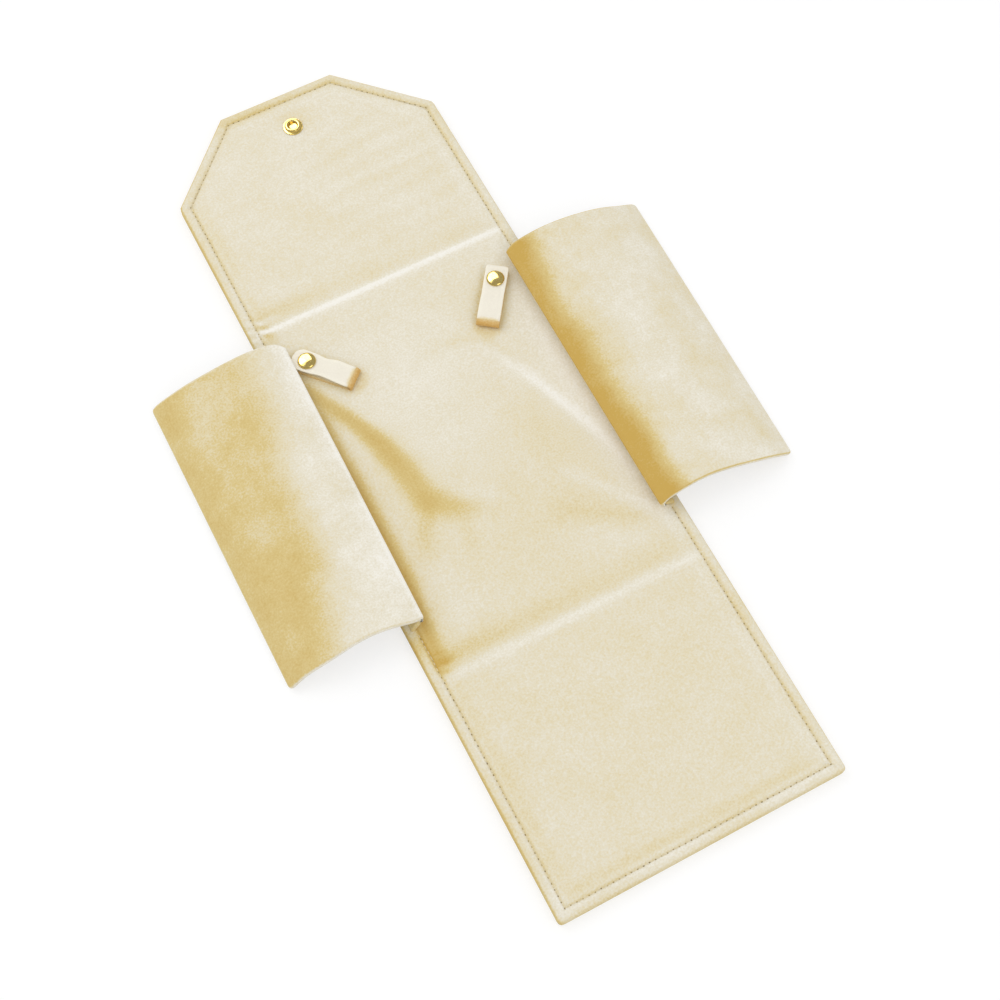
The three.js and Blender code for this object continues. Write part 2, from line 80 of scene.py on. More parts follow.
# %% [markdown]
# ## Camera
# The photograph looks down on the pouch from the front and left. The camera's place and its direction
# were worked out from the corners of the topstitch, which is a shape of known size. The focal length
# is given as a pixel count over a frame 1000 pixels wide, and Blender wants it in millimetres of sensor.

# %% Camera
IMAGE_SIZE = 1000
FOCAL_PIXELS = 1621.4
CAMERA_PLACE = np.array([-154.7, -313.3, 739.4])
CAMERA_AHEAD = Vector((0.18978, 0.34424, -0.91950)).normalized()
CAMERA_RIGHT = Vector((0.88417, -0.46711, 0.00762)).normalized()

lens = bpy.data.cameras.new("photo_camera")
lens.sensor_width = 36.0
lens.lens = lens.sensor_width * FOCAL_PIXELS / IMAGE_SIZE
lens.clip_start = 0.01
lens.clip_end = 20.0
camera = bpy.data.objects.new("photo_camera", lens)
bpy.context.scene.collection.objects.link(camera)
camera_up = CAMERA_RIGHT.cross(CAMERA_AHEAD)
turn = Matrix((CAMERA_RIGHT, camera_up, -CAMERA_AHEAD)).transposed()
camera.matrix_world = Matrix.Translation(Vector(CAMERA_PLACE * MM)) @ turn.to_4x4()
bpy.context.scene.camera = camera
print("lens", round(lens.lens, 2), "mm")

# %% [markdown]
# ## Light and floor
# The picture is a bright studio shot on white. A large soft lamp like a window stands behind and to the
# left, and a weaker one fills in from the front. The world adds plain white light from all round, and
# the camera sees it a little brighter. So much white would make polished metal look flat, so mirror
# reflections meet a darker room with one bright window. The floor shows as white but still takes a soft
# shadow: for the camera and in reflections, a plain white glow is mixed into a matt surface.

# %% Light and floor
WHITE = (1.0, 1.0, 1.0, 1.0)
scene = bpy.context.scene
scene.view_settings.view_transform = "Standard"


def soft_lamp(name, place, aim, size, power):
    """A square area lamp at a place in metres, pointing at a place."""
    data = bpy.data.lights.new(name, "AREA")
    data.size = size
    data.energy = power
    lamp = bpy.data.objects.new(name, data)
    scene.collection.objects.link(lamp)
    lamp.location = place
    lamp.rotation_mode = "QUATERNION"
    lamp.rotation_quaternion = (Vector(aim) - Vector(place)).to_track_quat("-Z", "Y")


soft_lamp("window_lamp", place=(-0.45, 0.65, 1.1), aim=(0.0, 0.0, 0.0), size=0.85, power=3.4)
soft_lamp("fill_lamp", place=(0.3, -0.75, 1.0), aim=(0.0, 0.0, 0.0), size=0.6, power=1.6)


def math_node(tree, operation, first, second):
    """A math node whose two inputs are sockets or numbers."""
    node = tree.nodes.new("ShaderNodeMath")
    node.operation = operation
    for slot, value in ((0, first), (1, second)):
        if isinstance(value, (int, float)):
            node.inputs[slot].default_value = value
        else:
            tree.links.new(value, node.inputs[slot])
    return node.outputs[0]


def dot_node(tree, vector, axis):
    """How far a direction reaches along an axis."""
    node = tree.nodes.new("ShaderNodeVectorMath")
    node.operation = "DOT_PRODUCT"
    node.inputs[1].default_value = axis
    tree.links.new(vector, node.inputs[0])
    return node.outputs["Value"]


def mix_surface(tree, share, first, second, output):
    """Mixes two shaders by a share and shows the result at the tree's output node."""
    mix = tree.nodes.new("ShaderNodeMixShader")
    tree.links.new(share, mix.inputs["Fac"])
    tree.links.new(first.outputs[0], mix.inputs[1])
    tree.links.new(second.outputs[0], mix.inputs[2])
    tree.links.new(mix.outputs["Shader"], tree.nodes[output].inputs["Surface"])


WORLD_LIGHT = 0.8              # white light from all round
SEEN_WHITE = 0.96              # the same white, as the camera sees it
ROOM_LIGHT = 0.42              # the darker room in mirror reflections
WINDOW_LIGHT = 4.0             # and its window
WINDOW_HALVES = (0.5, 0.36)    # half the window's width and height, one metre away
WINDOW_LEAST = 0.1             # directions that reach less far towards the window don't meet it
WINDOW_AHEAD = Vector((-0.08, 0.66, 0.745)).normalized()
WINDOW_RIGHT = Vector((0.0, 0.0, 1.0)).cross(WINDOW_AHEAD).normalized()
WINDOW_UP = WINDOW_AHEAD.cross(WINDOW_RIGHT)


def window_mask(tree):
    """1 for directions that meet an oblong window in the room's ceiling, 0 elsewhere."""
    direction = tree.nodes.new("ShaderNodeTexCoord").outputs["Generated"]
    ahead = dot_node(tree, direction, WINDOW_AHEAD)
    mask = math_node(tree, "GREATER_THAN", ahead, WINDOW_LEAST)
    for axis, half in zip((WINDOW_RIGHT, WINDOW_UP), WINDOW_HALVES):
        across = math_node(tree, "DIVIDE", dot_node(tree, direction, axis), ahead)
        aside = math_node(tree, "ABSOLUTE", across, 0.0)
        mask = math_node(tree, "MULTIPLY", mask, math_node(tree, "LESS_THAN", aside, half))
    return mask


def studio_world():
    """White light from all round. Mirror reflections show a darker room with a bright window instead."""
    world = bpy.data.worlds.new("studio_white")
    world.use_nodes = True
    tree = world.node_tree
    path = tree.nodes.new("ShaderNodeLightPath")
    bright = tree.nodes["Background"]
    bright.inputs["Color"].default_value = WHITE
    seen = math_node(tree, "MULTIPLY", path.outputs["Is Camera Ray"], SEEN_WHITE - WORLD_LIGHT)
    tree.links.new(math_node(tree, "ADD", seen, WORLD_LIGHT), bright.inputs["Strength"])
    room = tree.nodes.new("ShaderNodeBackground")
    room.inputs["Color"].default_value = WHITE
    window = math_node(tree, "MULTIPLY", window_mask(tree), WINDOW_LIGHT - ROOM_LIGHT)
    tree.links.new(math_node(tree, "ADD", window, ROOM_LIGHT), room.inputs["Strength"])
    mix_surface(tree, path.outputs["Is Glossy Ray"], bright, room, "World Output")
    return world


scene.world = studio_world()

FLOOR_HALF = 3.0
FLOOR_DROP = 0.0003
PAPER_WHITE = (0.93, 0.93, 0.93, 1.0)
PAPER_ROUGHNESS = 0.9
GLOW = 1.08
GLOW_SHARE = 0.6
floor_mesh = bpy.data.meshes.new("floor")
floor_mesh.from_pydata(
    [(x * FLOOR_HALF, y * FLOOR_HALF, -FLOOR_DROP) for x, y in ((-1, -1), (1, -1), (1, 1), (-1, 1))],
    [],
    [(0, 1, 2, 3)],
)
floor = bpy.data.objects.new("floor", floor_mesh)
scene.collection.objects.link(floor)


def plain_material(name, roughness):
    """A new material, its node tree and its Principled shader."""
    material = bpy.data.materials.new(name)
    material.use_nodes = True
    shader = material.node_tree.nodes["Principled BSDF"]
    shader.inputs["Roughness"].default_value = roughness
    return material, material.node_tree, shader


def floor_material():
    """White paper: a matt surface, with a white glow mixed in for the camera and for reflections."""
    material, tree, paper = plain_material("white_paper", PAPER_ROUGHNESS)
    paper.inputs["Base Color"].default_value = PAPER_WHITE
    glow = tree.nodes.new("ShaderNodeEmission")
    glow.inputs["Color"].default_value = WHITE
    glow.inputs["Strength"].default_value = GLOW
    path = tree.nodes.new("ShaderNodeLightPath")
    seen = math_node(tree, "MAXIMUM", path.outputs["Is Camera Ray"], path.outputs["Is Glossy Ray"])
    mix_surface(tree, math_node(tree, "MULTIPLY", seen, GLOW_SHARE), paper, glow, "Material Output")
    return material


floor_mesh.materials.append(floor_material())
print("floor", 2 * FLOOR_HALF, "m wide")

# %% [markdown]
# ## Shared effects
# Velvet is a short standing pile. Where the pile leans away it looks pale, and where it leans to the
# eye it looks deep and golden. That look comes from light and view, and here it is painted: each cloth
# piece stores painted light and shade, with marks in the pile, in a point attribute called
# nap_and_shade. A second attribute called rest keeps where each point lay before any folding, so that
# the texture never swims. Three node groups serve every velvet: how far the colour goes to gold, how
# high the tufts stand, and the small puckers along the stitching.

# %% Node group helpers


def new_group(name, inputs, outputs):
    """An empty shader node group with named sockets, and its input and output nodes."""
    group = bpy.data.node_groups.new(name, "ShaderNodeTree")
    for label, kind, value in inputs:
        socket = group.interface.new_socket(label, in_out="INPUT", socket_type=kind)
        if value is not None:
            socket.default_value = value
    for label, kind in outputs:
        group.interface.new_socket(label, in_out="OUTPUT", socket_type=kind)
    return group, group.nodes.new("NodeGroupInput"), group.nodes.new("NodeGroupOutput")


def noise_node(tree, vector, scale, detail, roughness=0.55):
    """A noise texture's value, near 0.5 on average."""
    node = tree.nodes.new("ShaderNodeTexNoise")
    node.inputs["Detail"].default_value = detail
    node.inputs["Roughness"].default_value = roughness
    tree.links.new(vector, node.inputs["Vector"])
    if isinstance(scale, (int, float)):
        node.inputs["Scale"].default_value = scale
    else:
        tree.links.new(scale, node.inputs["Scale"])
    return node.outputs["Fac"]


# %% Brushed pile group
VALUE = "NodeSocketFloat"
VECTOR = "NodeSocketVector"
WISP_SCALE = 4.3         # the wisps are this many times finer than the clouds
WISP_SHARE = 0.35
SPECKLE_SCALE = 1050.0
BEAT_SCALE = 0.16        # the weave's beat is coarser than the tufts
BEAT_SHARE = 0.5
PUCKER_REACH = 1.8       # millimetres to either side of the stitch line
EULER = 2.718


def pile_and_shade_group():
    """Painted shade and nap, 0 to 1: the stored value with cloudy hand marks and fine speckle on it."""
    group, given, made = new_group(
        "Pile And Shade",
        [("Rest", VECTOR, None), ("Nap And Shade", VALUE, 0.25), ("Cloud Scale", VALUE, 45.0),
         ("Cloud Strength", VALUE, 0.3), ("Speckle Strength", VALUE, 0.5)],
        [("Lean And Shade", VALUE)],
    )
    rest = given.outputs["Rest"]
    clouds = noise_node(group, rest, given.outputs["Cloud Scale"], detail=4.0, roughness=0.6)
    fine_scale = math_node(group, "MULTIPLY", given.outputs["Cloud Scale"], WISP_SCALE)
    wisps = noise_node(group, rest, fine_scale, detail=2.0)
    both = math_node(group, "ADD", clouds, math_node(group, "MULTIPLY", wisps, WISP_SHARE))
    offset = math_node(group, "SUBTRACT", both, 0.5 + 0.5 * WISP_SHARE)
    cloudy = math_node(group, "MULTIPLY", offset, given.outputs["Cloud Strength"])
    speckle = math_node(group, "SUBTRACT", noise_node(group, rest, SPECKLE_SCALE, detail=2.0), 0.5)
    speckled = math_node(group, "MULTIPLY", speckle, given.outputs["Speckle Strength"])
    lean_and_shade = math_node(group, "ADD", given.outputs["Nap And Shade"], math_node(group, "ADD", cloudy, speckled))
    group.links.new(lean_and_shade, made.inputs["Lean And Shade"])
    return group


def pile_height_group():
    """Height of the pile's tufts, for a bump: fine grain with a faint weave beat under it."""
    group, given, made = new_group(
        "Pile Height",
        [("Rest", VECTOR, None), ("Tuft Scale", VALUE, 2200.0)],
        [("Height", VALUE)],
    )
    rest, tuft_scale = given.outputs["Rest"], given.outputs["Tuft Scale"]
    grain = noise_node(group, rest, tuft_scale, detail=2.0, roughness=0.7)
    beat = noise_node(group, rest, math_node(group, "MULTIPLY", tuft_scale, BEAT_SCALE), detail=1.0)
    height = math_node(group, "ADD", grain, math_node(group, "MULTIPLY", beat, BEAT_SHARE))
    group.links.new(height, made.inputs["Height"])
    return group


def pucker_group():
    """Small puckers across the topstitch, one for each stitch."""
    group, given, made = new_group(
        "Stitch Puckers",
        [("Along", VALUE, 0.0), ("Inside", VALUE, 0.0), ("Pitch", VALUE, 3.1), ("Line", VALUE, 5.5)],
        [("Height", VALUE)],
    )
    turns = math_node(group, "DIVIDE", given.outputs["Along"], given.outputs["Pitch"])
    wave = math_node(group, "SINE", math_node(group, "MULTIPLY", turns, 2 * math.pi), 0.0)
    from_line = math_node(group, "SUBTRACT", given.outputs["Inside"], given.outputs["Line"])
    away = math_node(group, "DIVIDE", from_line, PUCKER_REACH)
    squared = math_node(group, "MULTIPLY", away, away)
    near = math_node(group, "POWER", EULER, math_node(group, "MULTIPLY", squared, -1.0))
    group.links.new(math_node(group, "MULTIPLY", wave, near), made.inputs["Height"])
    return group


PILE_AND_SHADE = pile_and_shade_group()
STITCH_PUCKERS = pucker_group()
PILE_HEIGHT = pile_height_group()
print("groups", PILE_AND_SHADE.name, PILE_HEIGHT.name, STITCH_PUCKERS.name)

# %% [markdown]
# ## Velvet
# A colour ramp runs from the palest tone through champagne to deep gold. Champagne and straw are the
# cloth's own colours. The palest stop is painted light, for slopes that face away and for rims. The
# honey and gold stops are painted shade, for slopes to the lower left and for places in shade. Sheen
# stands for the fibre tips that catch light at a glancing angle.

# %% Velvet materials


def rgb(red, green, blue):
    """A colour picked as 0 to 255 on screen, as Blender's linear colour."""
    def linear(level):
        share = level / 255.0
        return share / 12.92 if share <= 0.04045 else ((share + 0.055) / 1.055) ** 2.4
    return (linear(red), linear(green), linear(blue), 1.0)


def attribute_node(tree, name):
    """Reads a point attribute of the mesh."""
    node = tree.nodes.new("ShaderNodeAttribute")
    node.attribute_type = "GEOMETRY"
    node.attribute_name = name
    return node


def place_group(tree, group, **values):
    """Puts a shared group into a material and sets its own numbers."""
    node = tree.nodes.new("ShaderNodeGroup")
    node.node_tree = group
    for label, value in values.items():
        node.inputs[label.replace("_", " ")].default_value = value
    return node


def ramp_node(tree, factor, stops):
    """A colour ramp with stops of (place, colour)."""
    node = tree.nodes.new("ShaderNodeValToRGB")
    ramp = node.color_ramp
    ramp.elements[0].position, ramp.elements[0].color = stops[0]
    ramp.elements[1].position, ramp.elements[1].color = stops[-1]
    for place, colour in stops[1:-1]:
        ramp.elements.new(place).color = colour
    tree.links.new(factor, node.inputs["Fac"])
    return node.outputs["Color"]


def add_bump(tree, shader, height, strength, distance):
    """Makes a surface look raised by a height value."""
    bump = tree.nodes.new("ShaderNodeBump")
    bump.inputs["Strength"].default_value = strength
    bump.inputs["Distance"].default_value = distance
    tree.links.new(height, bump.inputs["Height"])
    tree.links.new(bump.outputs["Normal"], shader.inputs["Normal"])


VELVET_ROUGHNESS = 0.95
VELVET_SHEEN = {"Specular IOR Level": 0.15, "Sheen Weight": 0.25, "Sheen Roughness": 0.4,
                "Sheen Tint": rgb(255, 246, 220)}
PILE_BUMP = 0.35
PILE_LENGTH = 0.0003
PUCKER_SHARE = 0.5


def velvet(name, stops, cloud_strength, cloud_scale=45.0, speckle=0.5, puckered=False):
    """Velvet of the given colour stops, reading the mesh's rest and its painted light and shade,
    nap_and_shade.
    """
    material, tree, shader = plain_material(name, VELVET_ROUGHNESS)
    for label, value in VELVET_SHEEN.items():
        shader.inputs[label].default_value = value
    rest = attribute_node(tree, "rest")
    nap_and_shade = attribute_node(tree, "nap_and_shade")
    lean_and_shade = place_group(tree, PILE_AND_SHADE, Cloud_Strength=cloud_strength, Cloud_Scale=cloud_scale,
                       Speckle_Strength=speckle)
    tree.links.new(rest.outputs["Vector"], lean_and_shade.inputs["Rest"])
    tree.links.new(nap_and_shade.outputs["Fac"], lean_and_shade.inputs["Nap And Shade"])
    colour = ramp_node(tree, lean_and_shade.outputs["Lean And Shade"], stops)
    tree.links.new(colour, shader.inputs["Base Color"])
    tufts = place_group(tree, PILE_HEIGHT)
    tree.links.new(rest.outputs["Vector"], tufts.inputs["Rest"])
    height = tufts.outputs["Height"]
    if puckered:
        puckers = place_group(tree, STITCH_PUCKERS)
        tree.links.new(attribute_node(tree, "along").outputs["Fac"], puckers.inputs["Along"])
        tree.links.new(attribute_node(tree, "inside").outputs["Fac"], puckers.inputs["Inside"])
        raised = math_node(tree, "MULTIPLY", puckers.outputs["Height"], PUCKER_SHARE)
        height = math_node(tree, "ADD", height, raised)
    add_bump(tree, shader, height, PILE_BUMP, PILE_LENGTH)
    return material


# Painted light and shade in the stops: PALEST is painted light, and HONEY, GOLDEN and the cover's last two
# stops are painted shade. CHAMPAGNE and STRAW are the velvet's own colour.
PALEST = rgb(246, 243, 234)
CHAMPAGNE = rgb(231, 224, 204)
STRAW = rgb(227, 215, 181)
HONEY = rgb(219, 198, 139)
GOLDEN = rgb(203, 168, 88)

PALE_STOPS = [(0.0, PALEST), (0.25, CHAMPAGNE), (0.4, STRAW)]
LINING_STOPS = [*PALE_STOPS, (0.6, HONEY), (1.0, GOLDEN)]
COVER_STOPS = [*PALE_STOPS, (0.6, rgb(217, 198, 138)), (1.0, rgb(200, 168, 84))]
# The tape's first stop is a painted highlight for the upper run's edges, and its last stops are painted shade
# for the fold end and the lower run's edges.
TAPE_STOPS = [(0.0, rgb(249, 244, 228)), (0.25, rgb(240, 234, 219)), (0.5, rgb(230, 213, 168)),
              (0.75, rgb(213, 172, 102)), (1.0, rgb(190, 136, 56))]
LINING_VELVET = velvet("lining_velvet", LINING_STOPS, cloud_strength=0.16, puckered=True)
COVER_VELVET = velvet("cover_velvet", COVER_STOPS, cloud_strength=0.25, puckered=True)
WING_VELVET = velvet("wing_velvet", LINING_STOPS, cloud_strength=0.52, cloud_scale=40.0)
TAPE_VELVET = velvet("tape_velvet", TAPE_STOPS, cloud_strength=0.1, speckle=0.25)
print("velvets", LINING_VELVET.name, COVER_VELVET.name, WING_VELVET.name, TAPE_VELVET.name)

# %% [markdown]
# ## Thread, gold and the filling
# The topstitch is a champagne thread. The dark pieces at the needle holes are painted shade for the
# hollow of each hole. The mesh stores which is which as a point attribute called shade. The snaps are
# polished gold-coloured metal with faint handling marks in colour and roughness. Foam and board are
# closed in between the velvets, but they get their own finish too, because the parts can be looked at
# one by one.

# %% Thread, gold, foam and board
GRAIN_BUMP = 0.5
GOLD_ROUGHNESS = 0.06        # the smoothest spots
GOLD_MARKS = 0.12            # how much rougher handling marks are
THREAD_NOISE = 0.5


def mottled(name, scale, dark, light, roughness, bump_size):
    """A matt material with a mottled colour and a bump of the same grain."""
    material, tree, shader = plain_material(name, roughness)
    place = tree.nodes.new("ShaderNodeTexCoord").outputs["Object"]
    grain = noise_node(tree, place, scale, detail=3.0)
    tree.links.new(ramp_node(tree, grain, [(0.3, dark), (0.7, light)]), shader.inputs["Base Color"])
    add_bump(tree, shader, grain, GRAIN_BUMP, bump_size)
    return material


def polished_gold():
    """Gold-coloured metal, smooth, with faint cloudy handling marks."""
    material, tree, shader = plain_material("polished_gold", GOLD_ROUGHNESS)
    place = tree.nodes.new("ShaderNodeTexCoord").outputs["Object"]
    marks = noise_node(tree, place, 900.0, detail=4.0)
    shader.inputs["Metallic"].default_value = 1.0
    colour = ramp_node(tree, marks, [(0.3, rgb(228, 199, 112)), (0.7, rgb(240, 215, 140))])
    tree.links.new(colour, shader.inputs["Base Color"])
    rough = math_node(tree, "ADD", math_node(tree, "MULTIPLY", marks, GOLD_MARKS), GOLD_ROUGHNESS)
    tree.links.new(rough, shader.inputs["Roughness"])
    return material


def stitch_thread():
    """Champagne thread, and painted shade for the needle holes, by the shade value that the mesh stores."""
    material, tree, shader = plain_material("stitch_thread", 0.75)
    place = tree.nodes.new("ShaderNodeTexCoord").outputs["Object"]
    fuzz = math_node(tree, "SUBTRACT", noise_node(tree, place, 600.0, detail=2.0), 0.5)
    uneven = math_node(tree, "MULTIPLY", fuzz, THREAD_NOISE)
    shade = math_node(tree, "ADD", attribute_node(tree, "shade").outputs["Fac"], uneven)
    # The darkest stop is painted shade for the needle holes.
    stops = [(0.0, rgb(230, 220, 190)), (0.5, rgb(190, 170, 118)), (1.0, rgb(118, 98, 50))]
    tree.links.new(ramp_node(tree, shade, stops), shader.inputs["Base Color"])
    return material


THREAD = stitch_thread()
FOAM = mottled("white_foam", 900.0, rgb(226, 220, 204), rgb(244, 240, 230), 0.9, 0.0004)
BOARD = mottled("grey_board", 500.0, rgb(140, 132, 120), rgb(170, 162, 148), 0.85, 0.0002)
GOLD = polished_gold()
print("other finishes", THREAD.name, FOAM.name, BOARD.name, GOLD.name)

# %% [markdown]
# ## Sheets of cloth
# A sheet starts as a grid of quads for its outer face. Moving a copy of the face inwards along the
# normals and closing the rim gives the cloth its real thickness. The normals are set from the whole
# sheet, because a long sheet is cut into pieces where two bodies share it, and the cut must not show.
# The painted shade starts from the slope: a slope that faces the lower left, towards the eye, is
# painted golden, and one that faces away is painted pale.

# %% Sheet helpers
# Slopes that face this way, towards the eye, are painted golden as shade.
SHADED_SIDE = np.array([-0.6, -0.8, 0.0])


def smooth(t):
    """0 below 0, 1 above 1, and an S between."""
    t = np.clip(t, 0.0, 1.0)
    return t * t * (3.0 - 2.0 * t)


def bell(t, width):
    """A bell of height 1 about 0."""
    return np.exp(-((t / width) ** 2))


def vertex_normals(points, faces):
    """Area-weighted normals of a mesh of quads."""
    corner = points[faces]
    normal = np.cross(corner[:, 2] - corner[:, 0], corner[:, 3] - corner[:, 1])
    total = np.zeros_like(points)
    for k in range(4):
        np.add.at(total, faces[:, k], normal)
    return total / np.maximum(np.linalg.norm(total, axis=1, keepdims=True), 1e-12)


def slope_shade(normals, gain, golden, pale):
    """Painted shade from the slope: golden on slopes to the lower left, pale on the others."""
    facing = np.tanh(gain * (normals @ SHADED_SIDE))
    return np.where(facing > 0, golden * facing, pale * facing)


def ring_quads(rings, sides):
    """Point numbers of a tube by ring and side, and the quads between its rings."""
    index = np.arange(rings * sides).reshape(rings, sides)
    after = np.roll(index, -1, axis=1)
    return index, np.stack([index[:-1], after[:-1], after[1:], index[1:]], axis=-1).reshape(-1, 4)


def corner_draw(first, second):
    """Which points lie in a corner to be rounded, and the share that draws them onto its circles."""
    within = (first > 0) & (second > 0)
    return within, np.maximum(first, second) / np.maximum(np.hypot(first, second), 1e-9)


def along_segment(x, y, a, b, least=0.0):
    """Share along a segment of the place nearest to each point, and the distance to it."""
    run = b - a
    along = np.clip(((x - a[0]) * run[0] + (y - a[1]) * run[1]) / (run @ run), least, 1.0)
    return along, np.hypot(x - a[0] - along * run[0], y - a[1] - along * run[1])


def rim_edges(faces, count):
    """Directed edges that only one face uses."""
    start = faces.ravel()
    end = np.roll(faces, -1, axis=1).ravel()
    lone = ~np.isin(end * count + start, start * count + end)
    return start[lone], end[lone]


def mesh_object(name, points, faces, material):
    """A smooth mesh object from points in millimetres."""
    mesh = bpy.data.meshes.new(name)
    mesh.from_pydata((points * MM).tolist(), [], faces.tolist() if hasattr(faces, "tolist") else faces)
    mesh.polygons.foreach_set("use_smooth", np.ones(len(mesh.polygons), bool))
    mesh.materials.append(material)
    thing = bpy.data.objects.new(name, mesh)
    scene.collection.objects.link(thing)
    return thing


def store(mesh, name, kind, values):
    """Keeps one value per point with the mesh."""
    key = "vector" if kind == "FLOAT_VECTOR" else "value"
    layer = mesh.attributes.new(name, kind, "POINT")
    layer.data.foreach_set(key, np.asarray(values, np.float32).ravel())


def cloth_piece(name, points, faces, normals, nap_and_shade, thickness, material):
    """A closed sheet of cloth whose outer face is the given quads."""
    used = np.unique(faces)
    local = np.zeros(len(points), int)
    local[used] = np.arange(len(used))
    outer, quads, normal, lean_and_shade = points[used], local[faces], normals[used], nap_and_shade[used]
    count = len(used)
    inner = outer - normal * thickness
    start, end = rim_edges(quads, count)
    rim = np.column_stack([end, start, start + count, end + count])
    solid = np.concatenate([quads, quads[:, ::-1] + count, rim])
    both = np.concatenate([outer, inner])
    piece = mesh_object(name, both, solid, material)
    across = np.cross(both[rim[:, 2]] - both[rim[:, 0]], both[rim[:, 3]] - both[rim[:, 1]])
    across /= np.maximum(np.linalg.norm(across, axis=1, keepdims=True), 1e-12)
    loops = np.concatenate([
        normal[quads].reshape(-1, 3),
        -normal[quads[:, ::-1]].reshape(-1, 3),
        np.repeat(across, 4, axis=0),
    ])
    piece.data.normals_split_custom_set(loops.tolist())
    store(piece.data, "rest", "FLOAT_VECTOR", both * MM)
    store(piece.data, "nap_and_shade", "FLOAT", np.concatenate([lean_and_shade, lean_and_shade]))
    return piece


# %% [markdown]
# ## The strip's plan
# Seen from above, the strip is a long rectangle with the flap's two corners cut off. The grid follows
# that outline: the outermost rows and columns lie at fixed distances inside the edge, so the rolled
# edge, the border and the topstitch groove each get enough points, and the rest is spread evenly.

# %% Strip plan
STRIP_LOW = node_box("lower_cover")[0]
STRIP_HIGH = node_box("flap_cover")[1]
HALF_WIDTH = STRIP_HIGH[0]
END_LOW, END_HIGH = STRIP_LOW[1], STRIP_HIGH[1]
TOP = hinge["lower_fold"][2]
CHAMFER = 42.5
STITCH_INSET = 5.5
ROLL = 1.5
LOWER_CREASES = hinge["lower_fold_second"][1], hinge["lower_fold"][1]
UPPER_CREASES = hinge["flap_fold"][1], hinge["flap_fold_second"][1]
CUTS = [sum(LOWER_CREASES) / 2, 0.0, sum(UPPER_CREASES) / 2]
STUD_Y = node_middle("closure_stud")[1]
FLAP_SNAP_Y = node_middle("flap_socket")[1]
CORNER_ROUND = 2.4
COARSE, FINE, FOLD_STEP = 2.0, 1.0, 1.1      # distances between the grid's rows
SNAP_REACH = 11                              # finer rows this far round a snap

roll_insets = ROLL * (1 - np.cos(np.radians([0, 15, 30, 45, 60, 75, 90])))
border_insets = np.array([2.5, 3.2, 3.9, 4.5, 4.9, 5.2, 5.5, 5.8, 6.1, 6.5, 7.1, 8.0, 9.4, 11.2])
INSETS = np.concatenate([roll_insets, border_insets])


def spread(stops):
    """Even places between stops of (place, step up to the next stop)."""
    runs = [np.linspace(a, b, max(2, round((b - a) / step) + 1))[:-1]
            for (a, step), (b, _) in zip(stops[:-1], stops[1:])]
    return np.concatenate([*runs, [stops[-1][0]]])


row_stops = [
    (END_LOW + INSETS[-1], COARSE), (STUD_Y - SNAP_REACH, FINE), (STUD_Y + SNAP_REACH, COARSE),
    (-118, FOLD_STEP), (CUTS[0], FOLD_STEP), (-86, COARSE), (CUTS[1], COARSE), (84, FOLD_STEP),
    (CUTS[2], FOLD_STEP), (118, COARSE), (FLAP_SNAP_Y - SNAP_REACH, FINE), (END_HIGH - INSETS[-1], FINE),
]
ROWS = np.concatenate([END_LOW + INSETS[:-1], spread(row_stops), (END_HIGH - INSETS[:-1])[::-1]])
ACROSS = spread([(-1.0, 2.0 / 64), (-0.16, 1.0 / 64), (0.16, 2.0 / 64), (1.0, 1.0)])
CUT_ROWS = [int(np.abs(ROWS - cut).argmin()) for cut in CUTS]


def ring_x(inset, y):
    """Half width at each row, a given distance inside the outline."""
    straight = np.full_like(y, HALF_WIDTH - inset)
    cut_corner = HALF_WIDTH + END_HIGH - CHAMFER - math.sqrt(2) * inset - y
    return np.minimum(straight, cut_corner)


def strip_plan():
    """Plan places of the grid's points, and how far inside the outline each lies."""
    rings = np.column_stack([ring_x(inset, ROWS) for inset in INSETS[:-1]])
    middle = ring_x(INSETS[-1], ROWS)[:, None] * ACROSS[None, :]
    x = np.concatenate([-rings, middle, rings[:, ::-1]], axis=1)
    y = np.repeat(ROWS[:, None], x.shape[1], axis=1)
    corner = (HALF_WIDTH + END_HIGH - CHAMFER - np.abs(x) - y) / math.sqrt(2)
    inset = np.minimum.reduce([HALF_WIDTH - np.abs(x), y - END_LOW, END_HIGH - y, corner])
    from_side = CORNER_ROUND - (HALF_WIDTH - np.abs(x))
    from_end = CORNER_ROUND - (y - END_LOW)
    rounded, draw = corner_draw(from_side, from_end)
    x = np.where(rounded, np.sign(x) * (HALF_WIDTH - CORNER_ROUND + from_side * draw), x)
    y = np.where(rounded, END_LOW + CORNER_ROUND - from_end * draw, y)
    return x, y, np.maximum(inset, 0.0)


PLAN_X, PLAN_Y, INSIDE = strip_plan()
print("strip grid", PLAN_X.shape)

# %% [markdown]
# ## How the lining lies
# The lining is pulled flat by the topstitch, but it is slack across the middle. At each soft spine it
# sinks into a valley, gently on the flap's side and steeply on the other, which gives the thin bright
# line. Across the centre panel a low swelling runs from the left strap to the lower right: its left
# flank is the golden sweep, and its right flank the bright one. A faint oval mark is pressed in beside
# it, and the flap shows faint cross ripples. The tables below give each form's path and its height.

